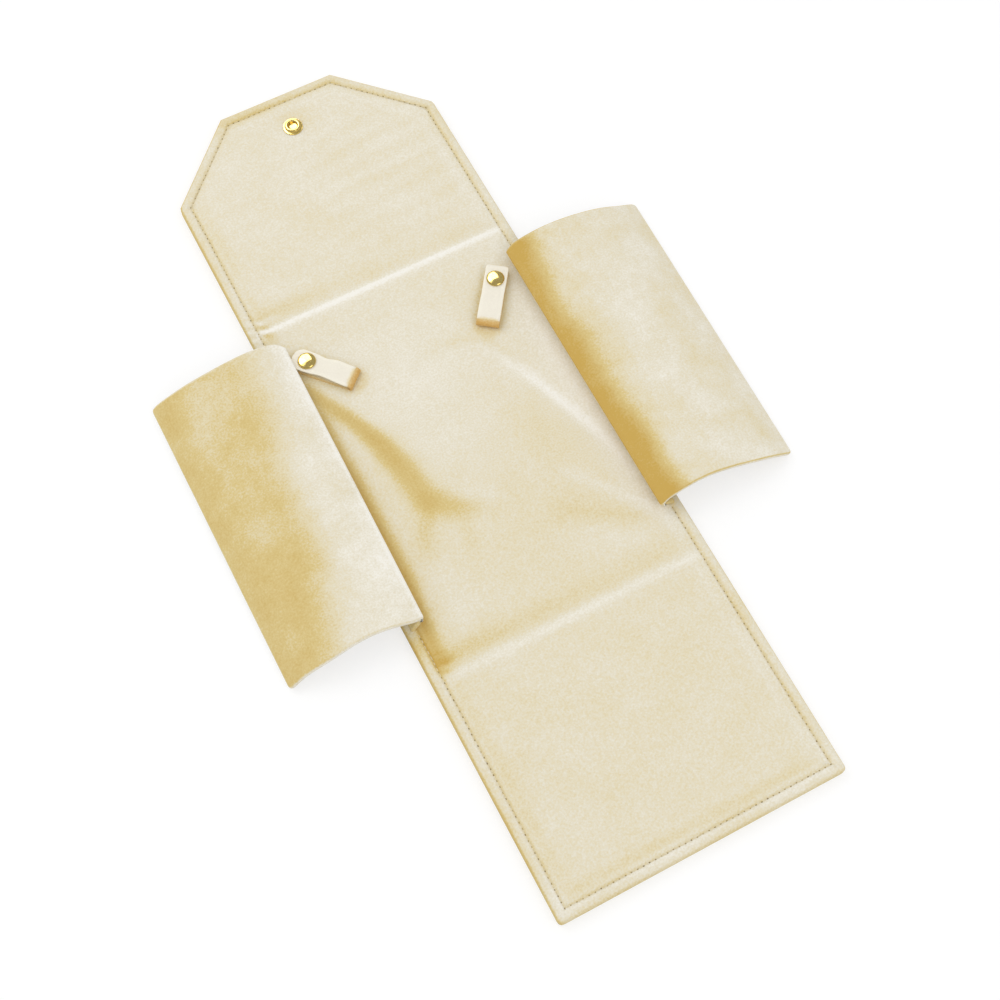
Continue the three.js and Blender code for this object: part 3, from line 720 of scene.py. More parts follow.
# %% Lining height
GROOVE_DEPTH = 0.6
GROOVE_WIDTH = 0.8
UPPER_VALLEY_DEPTH = 0.25
LOWER_VALLEY_DEPTH = 0.3
UPPER_VALLEY_Y, LOWER_VALLEY_Y = 101.2, -104.5
RUB_STEP, RUB_SAMPLES, RUB_WIDTH = 0.5, 24, 4.0      # how a table's corners are rubbed smooth
SWEEP = np.array([(-55, 22), (-50, 8), (-45, -5.5), (-40, -15), (-32, -27.6), (-22, -35.5), (-10, -37.3),
                  (3, -39.1), (19, -43.4), (35, -49.6), (49, -55.8), (62, -61.7), (76, -67)], float)
SWEEP_STEP = np.array([(-54, 0), (-48, 0.1), (-43, 0.24), (-38, 0.45), (-32, 0.8), (-20, 1.35),
                       (0, 1.7), (19, 1.6), (35, 1.2), (62, 0.5), (76, 0)], float)
SWEEP_WIDTH = np.array([(-55, 10), (-40, 14), (-22, 18), (3, 16), (20, 12.5), (35, 9.5), (62, 7),
                        (76, 6)], float)
IMPRINT = np.array([(-24, 30), (-14, 43), (-3, 49), (13, 52), (25, 48), (35, 39), (40, 26), (41, 8)], float)
IMPRINT_STEP = np.array([0.0, 0.1, 0.14, 0.14, 0.14, 0.14, 0.1, 0.0])
FLANK = np.array([(22, 50), (31, 37.5), (42, 14), (49, -4), (58, -31), (66, -57), (71, -78)], float)
FLANK_STEP = np.array([0.0, 0.2, 0.35, 0.5, 0.45, 0.3, 0.15])


def along_strip(y, table):
    """A value for each place along the strip, from a short table of (place, value) rubbed smooth."""
    fine = np.arange(END_LOW, END_HIGH, RUB_STEP)
    weight = bell(np.arange(-RUB_SAMPLES, RUB_SAMPLES + 1) * RUB_STEP, RUB_WIDTH)
    weight /= weight.sum()
    rough = np.pad(np.interp(fine, table[:, 0], table[:, 1]), RUB_SAMPLES, "edge")
    return np.interp(y, fine, np.convolve(rough, weight, "valid"))


def across_sweep(x, y):
    """Distance across the sweep's line, in widths: negative on its lower left."""
    steep = (along_strip(y + 1.0, SWEEP) - along_strip(y - 1.0, SWEEP)) / 2.0
    return (x - along_strip(y, SWEEP)) / np.sqrt(1 + steep ** 2) / along_strip(y, SWEEP_WIDTH)


def sweep(x, y):
    """The long bank across the centre panel, whose left flank is the golden sweep."""
    fade = 1 - smooth((x + 35.0) / 60.0)
    return along_strip(y, SWEEP_STEP) * smooth(across_sweep(x, y) + 0.5) * fade


def bank(x, y, path, steps, rise, reach):
    """A bank along a path: the ground rises across it, to the path's left, and sinks back slowly."""
    nearest = np.full(x.shape, np.inf)
    height = np.zeros(x.shape)
    side = np.zeros(x.shape)
    for a, b, low, high in zip(path[:-1], path[1:], steps[:-1], steps[1:]):
        along, away = along_segment(x, y, a, b)
        run = b - a
        cross = run[0] * (y - a[1]) - run[1] * (x - a[0])
        closer = away < nearest
        nearest = np.where(closer, away, nearest)
        height = np.where(closer, low + (high - low) * along, height)
        side = np.where(closer, np.sign(cross), side)
    signed = side * nearest
    return height * smooth(signed / rise + 0.5) * bell(np.maximum(signed - rise / 2, 0.0), reach)


def valley(across, gentle, steep):
    """A valley along across = 0, gentle on the positive side and steep on the negative one."""
    return np.where(across > 0, bell(across, gentle), bell(across, steep))


def upper_valley(y):
    """The flap spine's shallow valley."""
    return -UPPER_VALLEY_DEPTH * valley(y - UPPER_VALLEY_Y, gentle=8.0, steep=2.0)


def lower_valley(x, y):
    """The lower spine's shallow valley, fainter to the right."""
    fade = 0.8 - 0.2 * np.tanh(x / 40.0)
    return -LOWER_VALLEY_DEPTH * fade * valley(y - LOWER_VALLEY_Y, gentle=9.0, steep=4.5)


def pinches(x, y):
    """Small tucks where the folds pinch the left border."""
    near = bell(y - 102.0, 6.0) + 0.7 * bell(y + 101.0, 5.0)
    return 0.3 * near * np.cos(2 * np.pi * (y + 0.4 * x) / 5.2) * smooth((-62.0 - x) / 6.0)


def ripples(x, y):
    """Faint cross ripples on the flap, mostly on its right half."""
    bands = [(121, 0.10), (133, 0.16), (147, 0.12), (158, 0.18), (170, 0.15), (182, 0.16), (194, 0.10)]
    wave = sum(high * bell(y - at - 0.10 * x - 1.5 * np.sin(x / 15.0 + at), 3.4) for at, high in bands)
    return 0.5 * wave * (0.25 + 0.75 * smooth((x + 25.0) / 45.0))


def lining_height(x, y, inside):
    """Height of the lining's face over the strip's top, in millimetres."""
    slack = smooth((inside - STITCH_INSET) / 8.0)
    on_centre = smooth((y + 92.0) / 14.0) * smooth((86.0 - y) / 14.0)
    by_left_wing = smooth((y + 112.0) / 8.0) * smooth((70.0 - y) / 20.0)
    left_sink = -by_left_wing * 0.25 * bell(x + 66.0, 6.0)
    right_sink = -0.3 * on_centre * bell(x - 66.0, 7.0)
    banks = sweep(x, y) - bank(x, y, IMPRINT[::-1], IMPRINT_STEP[::-1], rise=6.0, reach=9.0)
    flank = bank(x, y, FLANK[::-1], FLANK_STEP[::-1], rise=5.0, reach=22.0)
    snap_press = -0.35 * bell(np.hypot(x, y - FLAP_SNAP_Y), 8.0)
    hand_marks = 0.06 * np.sin(x / 13.0 + 1.7) * np.sin(y / 17.0)
    hand_marks = hand_marks + 0.04 * np.sin((x + y) / 9.0) * np.sin(y / 31.0)
    soft = 0.2 * slack + banks + flank + ripples(x, y) + snap_press + hand_marks
    folds = (0.3 + 0.7 * slack) * (upper_valley(y) + lower_valley(x, y))
    groove = -GROOVE_DEPTH * bell(inside - STITCH_INSET, GROOVE_WIDTH)
    crown = 0.2 * bell(inside - 3.0, 1.6)
    return slack * soft + folds + groove + crown + pinches(x, y) + left_sink + right_sink


# %% [markdown]
# ## The strip's two velvets
# Both velvets roll over the edge and meet in a seam half way up the side, which shows as a thin line.
# The roll is a quarter circle, and two more loops of points tuck the cloth into the seam. Each velvet
# is cut into four pieces at places where it follows one body alone: half way across each spine and in
# the middle of the centre panel. Between the cuts a piece spans one crease. The nap_and_shade holds
# painted shade: golden on slopes to the lower left, on the sweep's flank, beside the left wing and the
# straps, in the fold valleys, on the outer walls and under the left wing's lower end. It holds painted
# light beside the right wing against its shadow, and pale fold lines that are crushed pile with a
# painted highlight. Soft strokes and a streak change the tone too.

# %% Strip sheets
LIP_INSET, LIP_RISE = 0.1, 0.5         # the first loop of the tuck
SEAM_TUCK, SEAM_GAP = 0.55, 0.05       # and the second, deep in the seam
VELVET_THICKNESS = 0.9
SEAM_Z = TOP / 2


def rolled(inside):
    """How far the rolled edge has dropped below the face."""
    reach = np.clip(ROLL - inside, 0.0, ROLL)
    return ROLL - np.sqrt(np.maximum(ROLL ** 2 - reach ** 2, 0.0))


def outline_loop(rows, columns):
    """Grid indices round the outline, anticlockwise from above."""
    index = np.arange(rows * columns).reshape(rows, columns)
    return np.concatenate([index[0, :], index[1:, -1], index[-1, -2::-1], index[-2:0:-1, 0]])


def grid_quads(rows, columns):
    """Quads of a grid, facing up."""
    index = np.arange(rows * columns).reshape(rows, columns)
    return np.stack([index[:-1, :-1], index[:-1, 1:], index[1:, 1:], index[1:, :-1]], axis=-1).reshape(-1, 4)


def strip_sheet(z, lip_heights, facing_up):
    """Points, quads and row numbers of one velvet of the strip, with its lip tucked into the seam."""
    rows, columns = PLAN_X.shape
    points = np.stack([PLAN_X, PLAN_Y, z], axis=-1).reshape(-1, 3)
    row_of = np.repeat(np.arange(rows), columns)
    loop = outline_loop(rows, columns)
    ahead = points[np.roll(loop, -1), :2] - points[np.roll(loop, 1), :2]
    inward = np.column_stack([-ahead[:, 1], ahead[:, 0]])
    inward /= np.linalg.norm(inward, axis=1, keepdims=True)
    quads = [grid_quads(rows, columns)]
    last = loop
    for inset, height in lip_heights:
        lip = np.column_stack([points[loop, :2] + inward * inset, np.full(len(loop), height)])
        here = np.arange(len(loop)) + len(points)
        points = np.concatenate([points, lip])
        row_of = np.concatenate([row_of, row_of[loop]])
        quads.append(np.column_stack([np.roll(last, -1), last, here, np.roll(here, -1)]))
        last = here
    faces = np.concatenate(quads)
    return points, faces if facing_up else faces[:, ::-1], row_of


def seam_lips(side):
    """Inset and height of the two loops that tuck a velvet into the seam, from above or from below."""
    return [(LIP_INSET, SEAM_Z + side * LIP_RISE), (SEAM_TUCK, SEAM_Z + side * SEAM_GAP)]


lining_z = TOP - rolled(INSIDE) + lining_height(PLAN_X, PLAN_Y, INSIDE)
LINING = strip_sheet(lining_z, seam_lips(1.0), True)

DIMPLE_DEPTH = 2.2
DIMPLE_MOUTH = 8.6
DIMPLE_SLOPE = 2.0
CREASE_DEPTH = 0.4
CREASE_WIDTH = 1.6


def cover_height(x, y, inside):
    """Height of the cover's face over the table: dimples round the snaps, a groove and spine creases."""
    dimples = sum(smooth((DIMPLE_MOUTH - np.hypot(x, y - at)) / DIMPLE_SLOPE) for at in (STUD_Y, FLAP_SNAP_Y))
    groove = GROOVE_DEPTH * bell(inside - STITCH_INSET, GROOVE_WIDTH)
    creases = sum(bell(y - at, CREASE_WIDTH) for at in (*LOWER_CREASES, *UPPER_CREASES))
    return DIMPLE_DEPTH * dimples + groove + CREASE_DEPTH * creases * smooth(inside / 3.0)


cover_z = rolled(INSIDE) + cover_height(PLAN_X, PLAN_Y, INSIDE)
COVER = strip_sheet(cover_z, seam_lips(-1.0), False)

STRETCHES = [
    ("lower", 0, CUT_ROWS[0], "lower_panel", "lower_spine", LOWER_CREASES[0]),
    ("lower_fold", CUT_ROWS[0], CUT_ROWS[1], "lower_spine", "centre", LOWER_CREASES[1]),
    ("upper_fold", CUT_ROWS[1], CUT_ROWS[2], "centre", "upper_spine", UPPER_CREASES[0]),
    ("flap", CUT_ROWS[2], len(ROWS) - 1, "upper_spine", "flap", UPPER_CREASES[1]),
]
STANDS_FOR = {"lower": ["lower", "lower_spine"], "lower_fold": ["lower_spine", "centre"],
              "upper_fold": ["centre", "upper_spine"], "flap": ["upper_spine", "flap"]}

# Marks that run along the strip: (place along it, place across it), and how strong they are. STREAK
# is a mark in the pile; WING_SHADE is painted shade on the lining beside the left wing.
STREAK = np.array([(-50, -49), (-43, -46.7), (-36, -42.3), (-29, -38.7), (-20, -36)], float)
STREAK_SHARE = np.array([(-58, 0), (-48, 0.4), (-36, 1), (-24, 0.8), (-14, 0)], float)
WING_SHADE = np.array([(-105, -68), (-88, -67.2), (-72, -65.2), (-55, -62.6), (49, -62.4)], float)
WING_SHADE_SHARE = np.array([(-110, 0), (-100, 0.5), (-72, 0.5), (-50, 0.46), (0, 0.46), (40, 0.34),
                             (55, 0.15), (68, 0)], float)
# Strokes of paler or more golden colour: change of tone, plan places of both ends, and width. Above
# 0 is golden.
STROKES = [
    (-0.11, (34, 40), (62, -38), 3.4), (-0.12, (26, -32), (70, -88), 3.2),
    (0.09, (10, -50), (68, -88), 4.0), (0.06, (-22, -34), (-29, -62), 4.0),
    (-0.06, (28, -79), (60, -92), 5.0), (-0.07, (-27, -18), (4, -41), 4.5),
    (0.05, (-30, -48), (34, -68), 9.0), (-0.05, (-50, -46), (-44, -98), 8.0),
]
STROKE_FADE = 0.35           # share of a stroke's length over which each end fades
STRAP_HALF_WIDTH = 6.0
# How far each strap lies from its packed place, and how far it is turned.
STRAP_SHIFT = {"left": np.array([-1.8, 0.0]), "right": np.array([-1.6, -1.5])}
STRAP_TURN = {"left": 0.0, "right": math.radians(5.0)}


def strap_line(side):
    """Plan places of a strap's snap and of its fold, laid a little askew as on the real one."""
    snap = node_middle(f"{side}_strap_cap")[:2]
    run = hinge[f"{side}_strap_lift"][:2] - snap
    cos, sin = math.cos(STRAP_TURN[side]), math.sin(STRAP_TURN[side])
    turned_run = np.array([cos * run[0] - sin * run[1], sin * run[0] + cos * run[1]])
    return snap + STRAP_SHIFT[side], snap + STRAP_SHIFT[side] + turned_run


def from_strap(x, y):
    """Distance to the nearer strap's edge."""
    reach = []
    for side in ("left", "right"):
        _, away = along_segment(x, y, *strap_line(side), least=-0.1)
        reach.append(away - STRAP_HALF_WIDTH)
    return np.maximum(np.minimum(*reach), 0.0)


def stroke(x, y, start, end, width):
    """A soft stroke between two plan places: 1 along its middle, 0 away from it."""
    run = np.subtract(end, start)
    length = np.hypot(*run)
    along = ((x - start[0]) * run[0] + (y - start[1]) * run[1]) / length ** 2
    aside = ((x - start[0]) * run[1] - (y - start[1]) * run[0]) / length
    return bell(aside, width) * smooth(along / STROKE_FADE) * smooth((1 - along) / STROKE_FADE)


def lining_marks_and_shade(x, y):
    """Painted shade by the sweep, the left wing, the straps and the folds, painted light by the right wing,
    and marks.
    """
    left = smooth((-x - 10.0) / 45.0)
    # Painted shade: golden on the sweep's left flank.
    on_sweep = 0.18 * along_strip(y, SWEEP_STEP) / 1.6 * bell(across_sweep(x, y), 0.5)
    on_sweep = on_sweep * smooth((-6.0 - x) / 18.0)
    streak = 0.2 * along_strip(y, STREAK_SHARE) * bell(x - along_strip(y, STREAK), 6.0)
    # Painted shade on the lining beside the left wing and round the straps.
    shade_by_wing = along_strip(y, WING_SHADE_SHARE) * bell(x - along_strip(y, WING_SHADE), 4.5)
    shadow_by_straps = 0.22 * bell(from_strap(x, y), 2.5)
    # Painted shade in the fold valleys, and in the tucks where the folds pinch the left border.
    upper_fold = 0.12 * left * bell(y - 109.0, 5.0)
    upper_tuck = 0.25 * bell(np.hypot(x + 66.0, y - 96.5), 3.0)
    lower_fold = (0.05 + 0.09 * left) * bell(y + 100.5 + 0.025 * x, 4.5)
    lower_tuck = 0.3 * bell(x + 66.0, 5.0) * bell(y + 99.5, 1.8)
    strokes = sum(share * stroke(x, y, a, b, width) for share, a, b, width in STROKES)
    golden = on_sweep + streak + shade_by_wing + shadow_by_straps + upper_fold + upper_tuck + lower_fold + lower_tuck
    # Pale lines along the folds: crushed pile, and a painted highlight on the valleys' steep sides.
    upper_line = 0.17 * bell(y - 100.0, 1.3)
    corner_line = 0.16 * bell(y - 107.4 + 0.18 * (x + 66.0), 1.3) * smooth((-x - 54.0) / 8.0)
    lower_line = (0.02 + 0.07 * smooth((x + 50.0) / 40.0)) * bell(y + 108.4, 2.6)
    # Painted light: paler beside the right wing, against the shadow it casts on the lining.
    light_by_right_wing = 0.17 * bell(x - 64.0, 11.0) * bell(y + 8.0, 70.0)
    by_upper_line = 0.05 * bell(y - 99.4, 3.4)
    crushed_and_lit = upper_line + corner_line + lower_line + light_by_right_wing + by_upper_line
    return golden + strokes - crushed_and_lit


def strip_nap_and_shade(points, normals, lining):
    """Painted light and shade of the strip: by slope within the stitching and on the outer walls, with the
    lining's marks.
    """
    x, y = points[:, 0], points[:, 1]
    inside = np.zeros(len(points))
    inside[:INSIDE.size] = INSIDE.ravel()
    within = smooth((inside - STITCH_INSET - 0.5) / 4.0)
    tone = 0.265 + 0.05 * smooth((60.0 - y) / 110.0)
    # Painted shade: the outer wall goes golden where it faces left and to the front, and the stitch groove
    # goes golden too.
    wall = smooth((1.4 - inside) / 1.1)
    facing = 0.34 * np.clip(-normals[:, 0], 0, 1) + 0.12 * np.clip(-normals[:, 1], 0, 1)
    border = wall * (0.12 + facing) + 0.1 * bell(inside - STITCH_INSET, 0.7)
    border = border + 0.05 * np.sin(x / 11.0) * np.sin(y / 13.0)
    border = border + 0.05 * smooth((y - 100.0) / 60.0) + 0.08 * smooth((y - 221.0) / 6.0)
    border = border - 0.07 * smooth((-205.0 - y) / 20.0)
    pale = 0.45 - 0.3 * smooth((18.0 - inside) / 8.0) * smooth((y - 160.0) / 20.0)
    slope = slope_shade(normals, gain=4.4, golden=0.62, pale=pale)
    nap_and_shade = tone + (0.2 + 0.8 * within) * slope * (1 - wall) + (1 - within) * border
    if lining:
        nap_and_shade = nap_and_shade + smooth((inside - 3.0) / 3.0) * lining_marks_and_shade(x, y)
        # Painted shadow on the left border under the left wing's lower end.
        nap_and_shade = nap_and_shade + 0.25 * smooth((-68.0 - x) / 3.0) * bell(y + 88.0, 8.0)
    return np.clip(nap_and_shade, 0.0, 1.0)


def bend_across(piece):
    """Bakes a piece's placement into its mesh."""
    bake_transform(piece)


def stitch_guide(points):
    """For each point, how far along its nearest edge it lies and how far inside the outline."""
    x, y = PLAN_X.ravel(), PLAN_Y.ravel()
    to_corner = (HALF_WIDTH + END_HIGH - CHAMFER - np.abs(x) - y) / math.sqrt(2)
    nearest = np.argmin([HALF_WIDTH - np.abs(x), np.minimum(y - END_LOW, END_HIGH - y), to_corner], axis=0)
    along = np.choose(nearest, [y, x, (y - np.abs(x)) / math.sqrt(2)])
    lips = len(points) - len(along)
    return np.concatenate([along, np.zeros(lips)]), np.concatenate([INSIDE.ravel(), np.zeros(lips)])


def strip_pieces(layer, sheet, material):
    """The four pieces of one velvet, each standing in for two imported parts."""
    points, faces, row_of = sheet
    normals = vertex_normals(points, faces)
    nap_and_shade = strip_nap_and_shade(points, normals, layer == "lining")
    along, inside = stitch_guide(points)
    rows = row_of[faces]
    for name, first, last, low_body, high_body, crease in STRETCHES:
        chosen = faces[(rows.min(axis=1) >= first) & (rows.max(axis=1) <= last)]
        piece = cloth_piece(f"{name}_{layer}_velvet", points, chosen, normals, nap_and_shade,
                            VELVET_THICKNESS, material)
        used = np.unique(chosen)
        store(piece.data, "along", "FLOAT", np.tile(along[used], 2))
        store(piece.data, "inside", "FLOAT", np.tile(inside[used], 2))
        bend_across(piece)
        stands_for = [f"{part}_{layer}" for part in STANDS_FOR[name]]
        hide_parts(*stands_for)
        print(piece.name, len(piece.data.polygons), "faces")


strip_pieces("lining", LINING, LINING_VELVET)
strip_pieces("cover", COVER, COVER_VELVET)

# %% [markdown]
# ## Topstitch
# The stitch line runs all round, five and a half millimetres inside the edge. Each stitch is a short
# plump thread that dips into the cloth at both ends, so it is modelled, not painted. Between two stitches
# a shorter dark piece is painted shade for the hollow of the needle hole.
# On the lining the line stops where the wings' roots are sewn in.

# %% Topstitch
STITCH_PITCH = 3.1
THREAD_LENGTH, THREAD_WIDTH, THREAD_DIP, THREAD_LIFT, THREAD_SHADE = 2.1, 0.42, 0.4, 0.1, 0.1
HOLE_LENGTH, HOLE_WIDTH, HOLE_DIP, HOLE_LIFT, HOLE_SHADE = 1.0, 0.5, 0.2, 0.12, 0.72
STITCH_SEED = 7
STITCH_DRIFT = 0.07                # how far stitches stray from the line
STITCH_STRETCH = (0.85, 1.12)      # and how their length and tone vary
STITCH_TONE = (0.6, 1.2)
WING_LOW_Y, WING_HIGH_Y = node_box("left_wing_root")[0][1], node_box("left_wing_root")[1][1]


def stitch_corners():
    """Corners of the topstitch line, anticlockwise from the lower left."""
    side = HALF_WIDTH - STITCH_INSET
    low, high = END_LOW + STITCH_INSET, END_HIGH - STITCH_INSET
    shoulder = END_HIGH - CHAMFER - (math.sqrt(2) - 1) * STITCH_INSET
    narrow = side - (high - shoulder)
    right = [(side, low), (side, shoulder), (narrow, high)]
    return np.array([*right, *[(-x, y) for x, y in reversed(right)]])


def stitch_places():
    """Middle, direction and pitch of every stitch along the line."""
    corners = stitch_corners()
    places = []
    for a, b in zip(corners, np.roll(corners, -1, axis=0)):
        run = np.linalg.norm(b - a)
        count = round(run / STITCH_PITCH)
        ahead = (b - a) / run
        places += [(a + ahead * run * (i + 0.5) / count, ahead, run / count) for i in range(count)]
    return places


def bent_tube(length, width, dip):
    """A short tube along x that dips at its ends, as points and quads."""
    steps, sides = 7, 6
    along = np.linspace(-1, 1, steps)
    around = np.linspace(0, 2 * np.pi, sides, endpoint=False)
    thick = width / 2 * np.sqrt(np.clip(1.02 - along ** 4, 0.02, 1))
    arch = -dip * along ** 4
    x = np.repeat(along * length / 2, sides)
    y = (thick[:, None] * np.cos(around)).ravel()
    z = (arch[:, None] + thick[:, None] * np.sin(around)).ravel()
    index, quads = ring_quads(steps, sides)
    ends = np.array([index[0, [0, 1, 2, 3]], index[0, [3, 4, 5, 0]],
                     index[-1, [3, 2, 1, 0]], index[-1, [0, 5, 4, 3]]])
    return np.column_stack([x, y, z]), np.concatenate([quads[:, ::-1], ends])


def height_under(sheet_z, place):
    """Height of a strip sheet at a plan place, from the nearest grid point."""
    row = int(np.abs(ROWS - place[1]).argmin())
    column = int(np.abs(PLAN_X[row] - place[0]).argmin())
    return sheet_z[row, column]


def stitch_rows(layer, sheet_z, outward, skip_wings):
    """All stitches and the painted shade at their needle holes on one face of the strip, one piece for each
    stretch.
    """
    thread, quads = bent_tube(THREAD_LENGTH, THREAD_WIDTH, THREAD_DIP)
    hole, _ = bent_tube(HOLE_LENGTH, HOLE_WIDTH, HOLE_DIP)
    shapes = ((thread, 0.0, THREAD_LIFT, THREAD_SHADE), (hole, 0.5, HOLE_LIFT, HOLE_SHADE))
    quads = quads if outward > 0 else quads[:, ::-1]
    uneven = np.random.default_rng(STITCH_SEED)
    groups = {name: [] for name, *_ in STRETCHES}
    for place, ahead, pitch in stitch_places():
        beside = abs(place[0]) > HALF_WIDTH - STITCH_INSET - 1
        if skip_wings and beside and WING_LOW_Y < place[1] < WING_HIGH_Y:
            continue
        name = next(stretch[0] for stretch in STRETCHES if place[1] <= ROWS[stretch[2]])
        aside = np.array([-ahead[1], ahead[0]])
        drift = uneven.normal(0.0, STITCH_DRIFT)
        for shape, pitch_share, lift, shade in shapes:
            middle = place + ahead * (pitch_share * pitch) + aside * drift
            stretch = uneven.uniform(*STITCH_STRETCH)
            plan = middle + np.outer(shape[:, 0] * stretch, ahead) + np.outer(shape[:, 1], aside)
            level = height_under(sheet_z, middle) + outward * lift
            tone = np.full(len(shape), shade * uneven.uniform(*STITCH_TONE))
            groups[name].append(np.column_stack([plan, level + outward * shape[:, 2], tone]))
    for name, _, _, low_body, high_body, crease in STRETCHES:
        many = groups[name]
        points = np.concatenate(many)
        faces = np.concatenate([quads + i * len(thread) for i in range(len(many))])
        piece = mesh_object(f"{name}_{layer}_stitches", points[:, :3], faces, THREAD)
        store(piece.data, "shade", "FLOAT", points[:, 3])
        bend_across(piece)
        print(piece.name, len(many) // 2, "stitches")


stitch_rows("lining", lining_z, 1.0, True)
stitch_rows("cover", cover_z, -1.0, False)

# %% [markdown]
# ## Side wings
# A wing is two velvets sewn back to back. It rises from the topstitch as a short wall, rolls over and
# arches down to the table. Its section is that wall and the arc through the three wing hinges, with
# the corner between them rubbed round by an averaging filter. The two velvets roll over the free edges
# and meet in a seam. Each velvet is cut into three pieces, which stand in for the imported wing parts.
# The two wings don't lie quite alike, so small tables shear, stretch and bow each in its own way.

# %% Wing section
WING_HALF = 1.3
WING_ROUND = 2.6
WING_EDGE = WING_HALF * (1 - np.cos(np.radians([0, 20, 40, 60, 75, 90])))
ROOT_X = HALF_WIDTH - STITCH_INSET
WING_OUT = node_box("right_wing_outer_upper")[1][0]
RIDGE = hinge["right_wing_fold"][[0, 2]]
MIDDLE_HINGE = hinge["right_wing_flatten_middle"][[0, 2]]
OUTER_HINGE = hinge["right_wing_flatten_outer"][[0, 2]]
FILTER = 1.0


def circle_through(a, b, c):
    """Centre and radius of the circle through three points."""
    rows = np.array([b - a, c - a])
    half = np.array([(b @ b - a @ a) / 2, (c @ c - a @ a) / 2])
    centre = np.linalg.solve(rows, half)
    return centre, np.linalg.norm(a - centre)


ARC_CENTRE, ARC_RADIUS = circle_through(RIDGE, MIDDLE_HINGE, OUTER_HINGE)


def wing_section(samples=1200):
    """The wing's upper face in x and z, from the topstitch to the free edge, with its length along it."""
    first = math.atan2(RIDGE[1] - ARC_CENTRE[1], RIDGE[0] - ARC_CENTRE[0])
    last = math.acos((WING_OUT - ARC_CENTRE[0]) / ARC_RADIUS)
    angle = np.linspace(first, last, samples)
    arc = ARC_CENTRE + ARC_RADIUS * np.column_stack([np.cos(angle), np.sin(angle)])
    wall = np.linspace([ROOT_X, TOP - 0.6], RIDGE, 160)[:-1]
    line = np.concatenate([wall, arc])
    length = np.concatenate([[0], np.cumsum(np.linalg.norm(np.diff(line, axis=0), axis=1))])
    even = np.linspace(0, length[-1], samples)
    line = np.column_stack([np.interp(even, length, line[:, k]) for k in (0, 1)])
    step = even[1]
    reach = round(3 * FILTER / step)
    weight = bell(np.arange(-reach, reach + 1) * step, FILTER * 1.4)
    weight /= weight.sum()
    padded = np.concatenate([2 * line[0] - line[reach:0:-1], line, 2 * line[-1] - line[-2:-reach - 2:-1]])
    rubbed = np.column_stack([np.convolve(padded[:, k], weight, "valid") for k in (0, 1)])
    return rubbed, even


SECTION, ALONG = wing_section()
SECTION_AHEAD = np.gradient(SECTION, axis=0)
SECTION_AHEAD /= np.linalg.norm(SECTION_AHEAD, axis=1, keepdims=True)
RIDGE_ALONG = ALONG[np.linalg.norm(SECTION - RIDGE, axis=1).argmin()]
print("wing", round(ALONG[-1], 1), "mm round, ridge at", round(RIDGE_ALONG, 1))

# %% Wing sheets
FIRST_CUT = RIDGE_ALONG + 10.0
SECOND_CUT = RIDGE_ALONG + 33.0
WING_CUTS = [0.0, FIRST_CUT, SECOND_CUT, ALONG[-1]]
along_stops = [(0.0, 0.9), (RIDGE_ALONG + 6, 1.8), (FIRST_CUT, 1.8), (SECOND_CUT, 1.8),
               (ALONG[-1] - WING_HALF, 1.0)]
WING_COLUMNS = np.concatenate([spread(along_stops), ALONG[-1] - WING_EDGE[-2::-1]])
end_stops = [(WING_LOW_Y + WING_HALF, 1.0), (WING_LOW_Y + 6, 2.0), (WING_HIGH_Y - 6, 1.0),
             (WING_HIGH_Y - WING_HALF, 1.0)]
WING_ROWS = np.concatenate([WING_LOW_Y + WING_EDGE[:-1], spread(end_stops), WING_HIGH_Y - WING_EDGE[-2::-1]])
WING_LIP, WING_TUCK, WING_SEAM = 0.3, 0.35, 0.03      # how the rim turns into its seam
# A pair is for the wing's lower and upper end, in millimetres.
SHEAR = {"left": (1.5, 4.8), "right": (-2.9, -1.2)}
BULGE = {"left": (-0.3, -0.5), "right": (-0.6, 0.0)}
LEAN_IN = {"left": (2.6, 5.5), "right": (4.3, 3.9)}
OUTER_RISE = {"left": (0.6, 2.2), "right": (0.0, 0.0)}
STRETCH = {"left": (0.0, 0.0), "right": (3.5, 6.5)}
DROOP = {"left": (0.8, 2.8), "right": (-1.0, 1.5)}
DROOP_REACH = 6.0
STEEP = {"left": 0.0, "right": 0.3}
# Bows of the end edges: how far, and where between ridge and free edge and how wide, as shares of that.
LOW_FLARE = {"left": [(3.3, 0.36, 0.3), (1.2, 0.85, 0.18)], "right": [(2.0, 0.35, 0.25)]}
HIGH_FLARE = {"left": [(4.4, 0.15, 0.35), (-1.0, 0.82, 0.15)],
              "right": [(1.2, 0.3, 0.3), (-0.8, 0.82, 0.12)]}


def wing_plan():
    """Place along the section and along the strip of every grid point, and its distance to the free edges."""
    s, y = np.meshgrid(WING_COLUMNS, WING_ROWS)
    free = ALONG[-1] - s
    low, high = y - WING_LOW_Y, WING_HIGH_Y - y
    inside = np.minimum.reduce([free, low, high])
    near = np.minimum(low, high)
    from_free, from_end = WING_ROUND - free, WING_ROUND - near
    rounded, draw = corner_draw(from_free, from_end)
    s = np.where(rounded, ALONG[-1] - WING_ROUND + from_free * draw, s)
    shift = np.where(rounded, from_end * (1 - draw), 0.0)
    y = np.where(low < high, y + shift, y - shift)
    return s, y, inside


def flare(bows, out):
    """How far a wing's end edge bows along the strip, at a share of the way to the free edge."""
    return sum(amount * bell(out - place, width) for amount, place, width in bows)


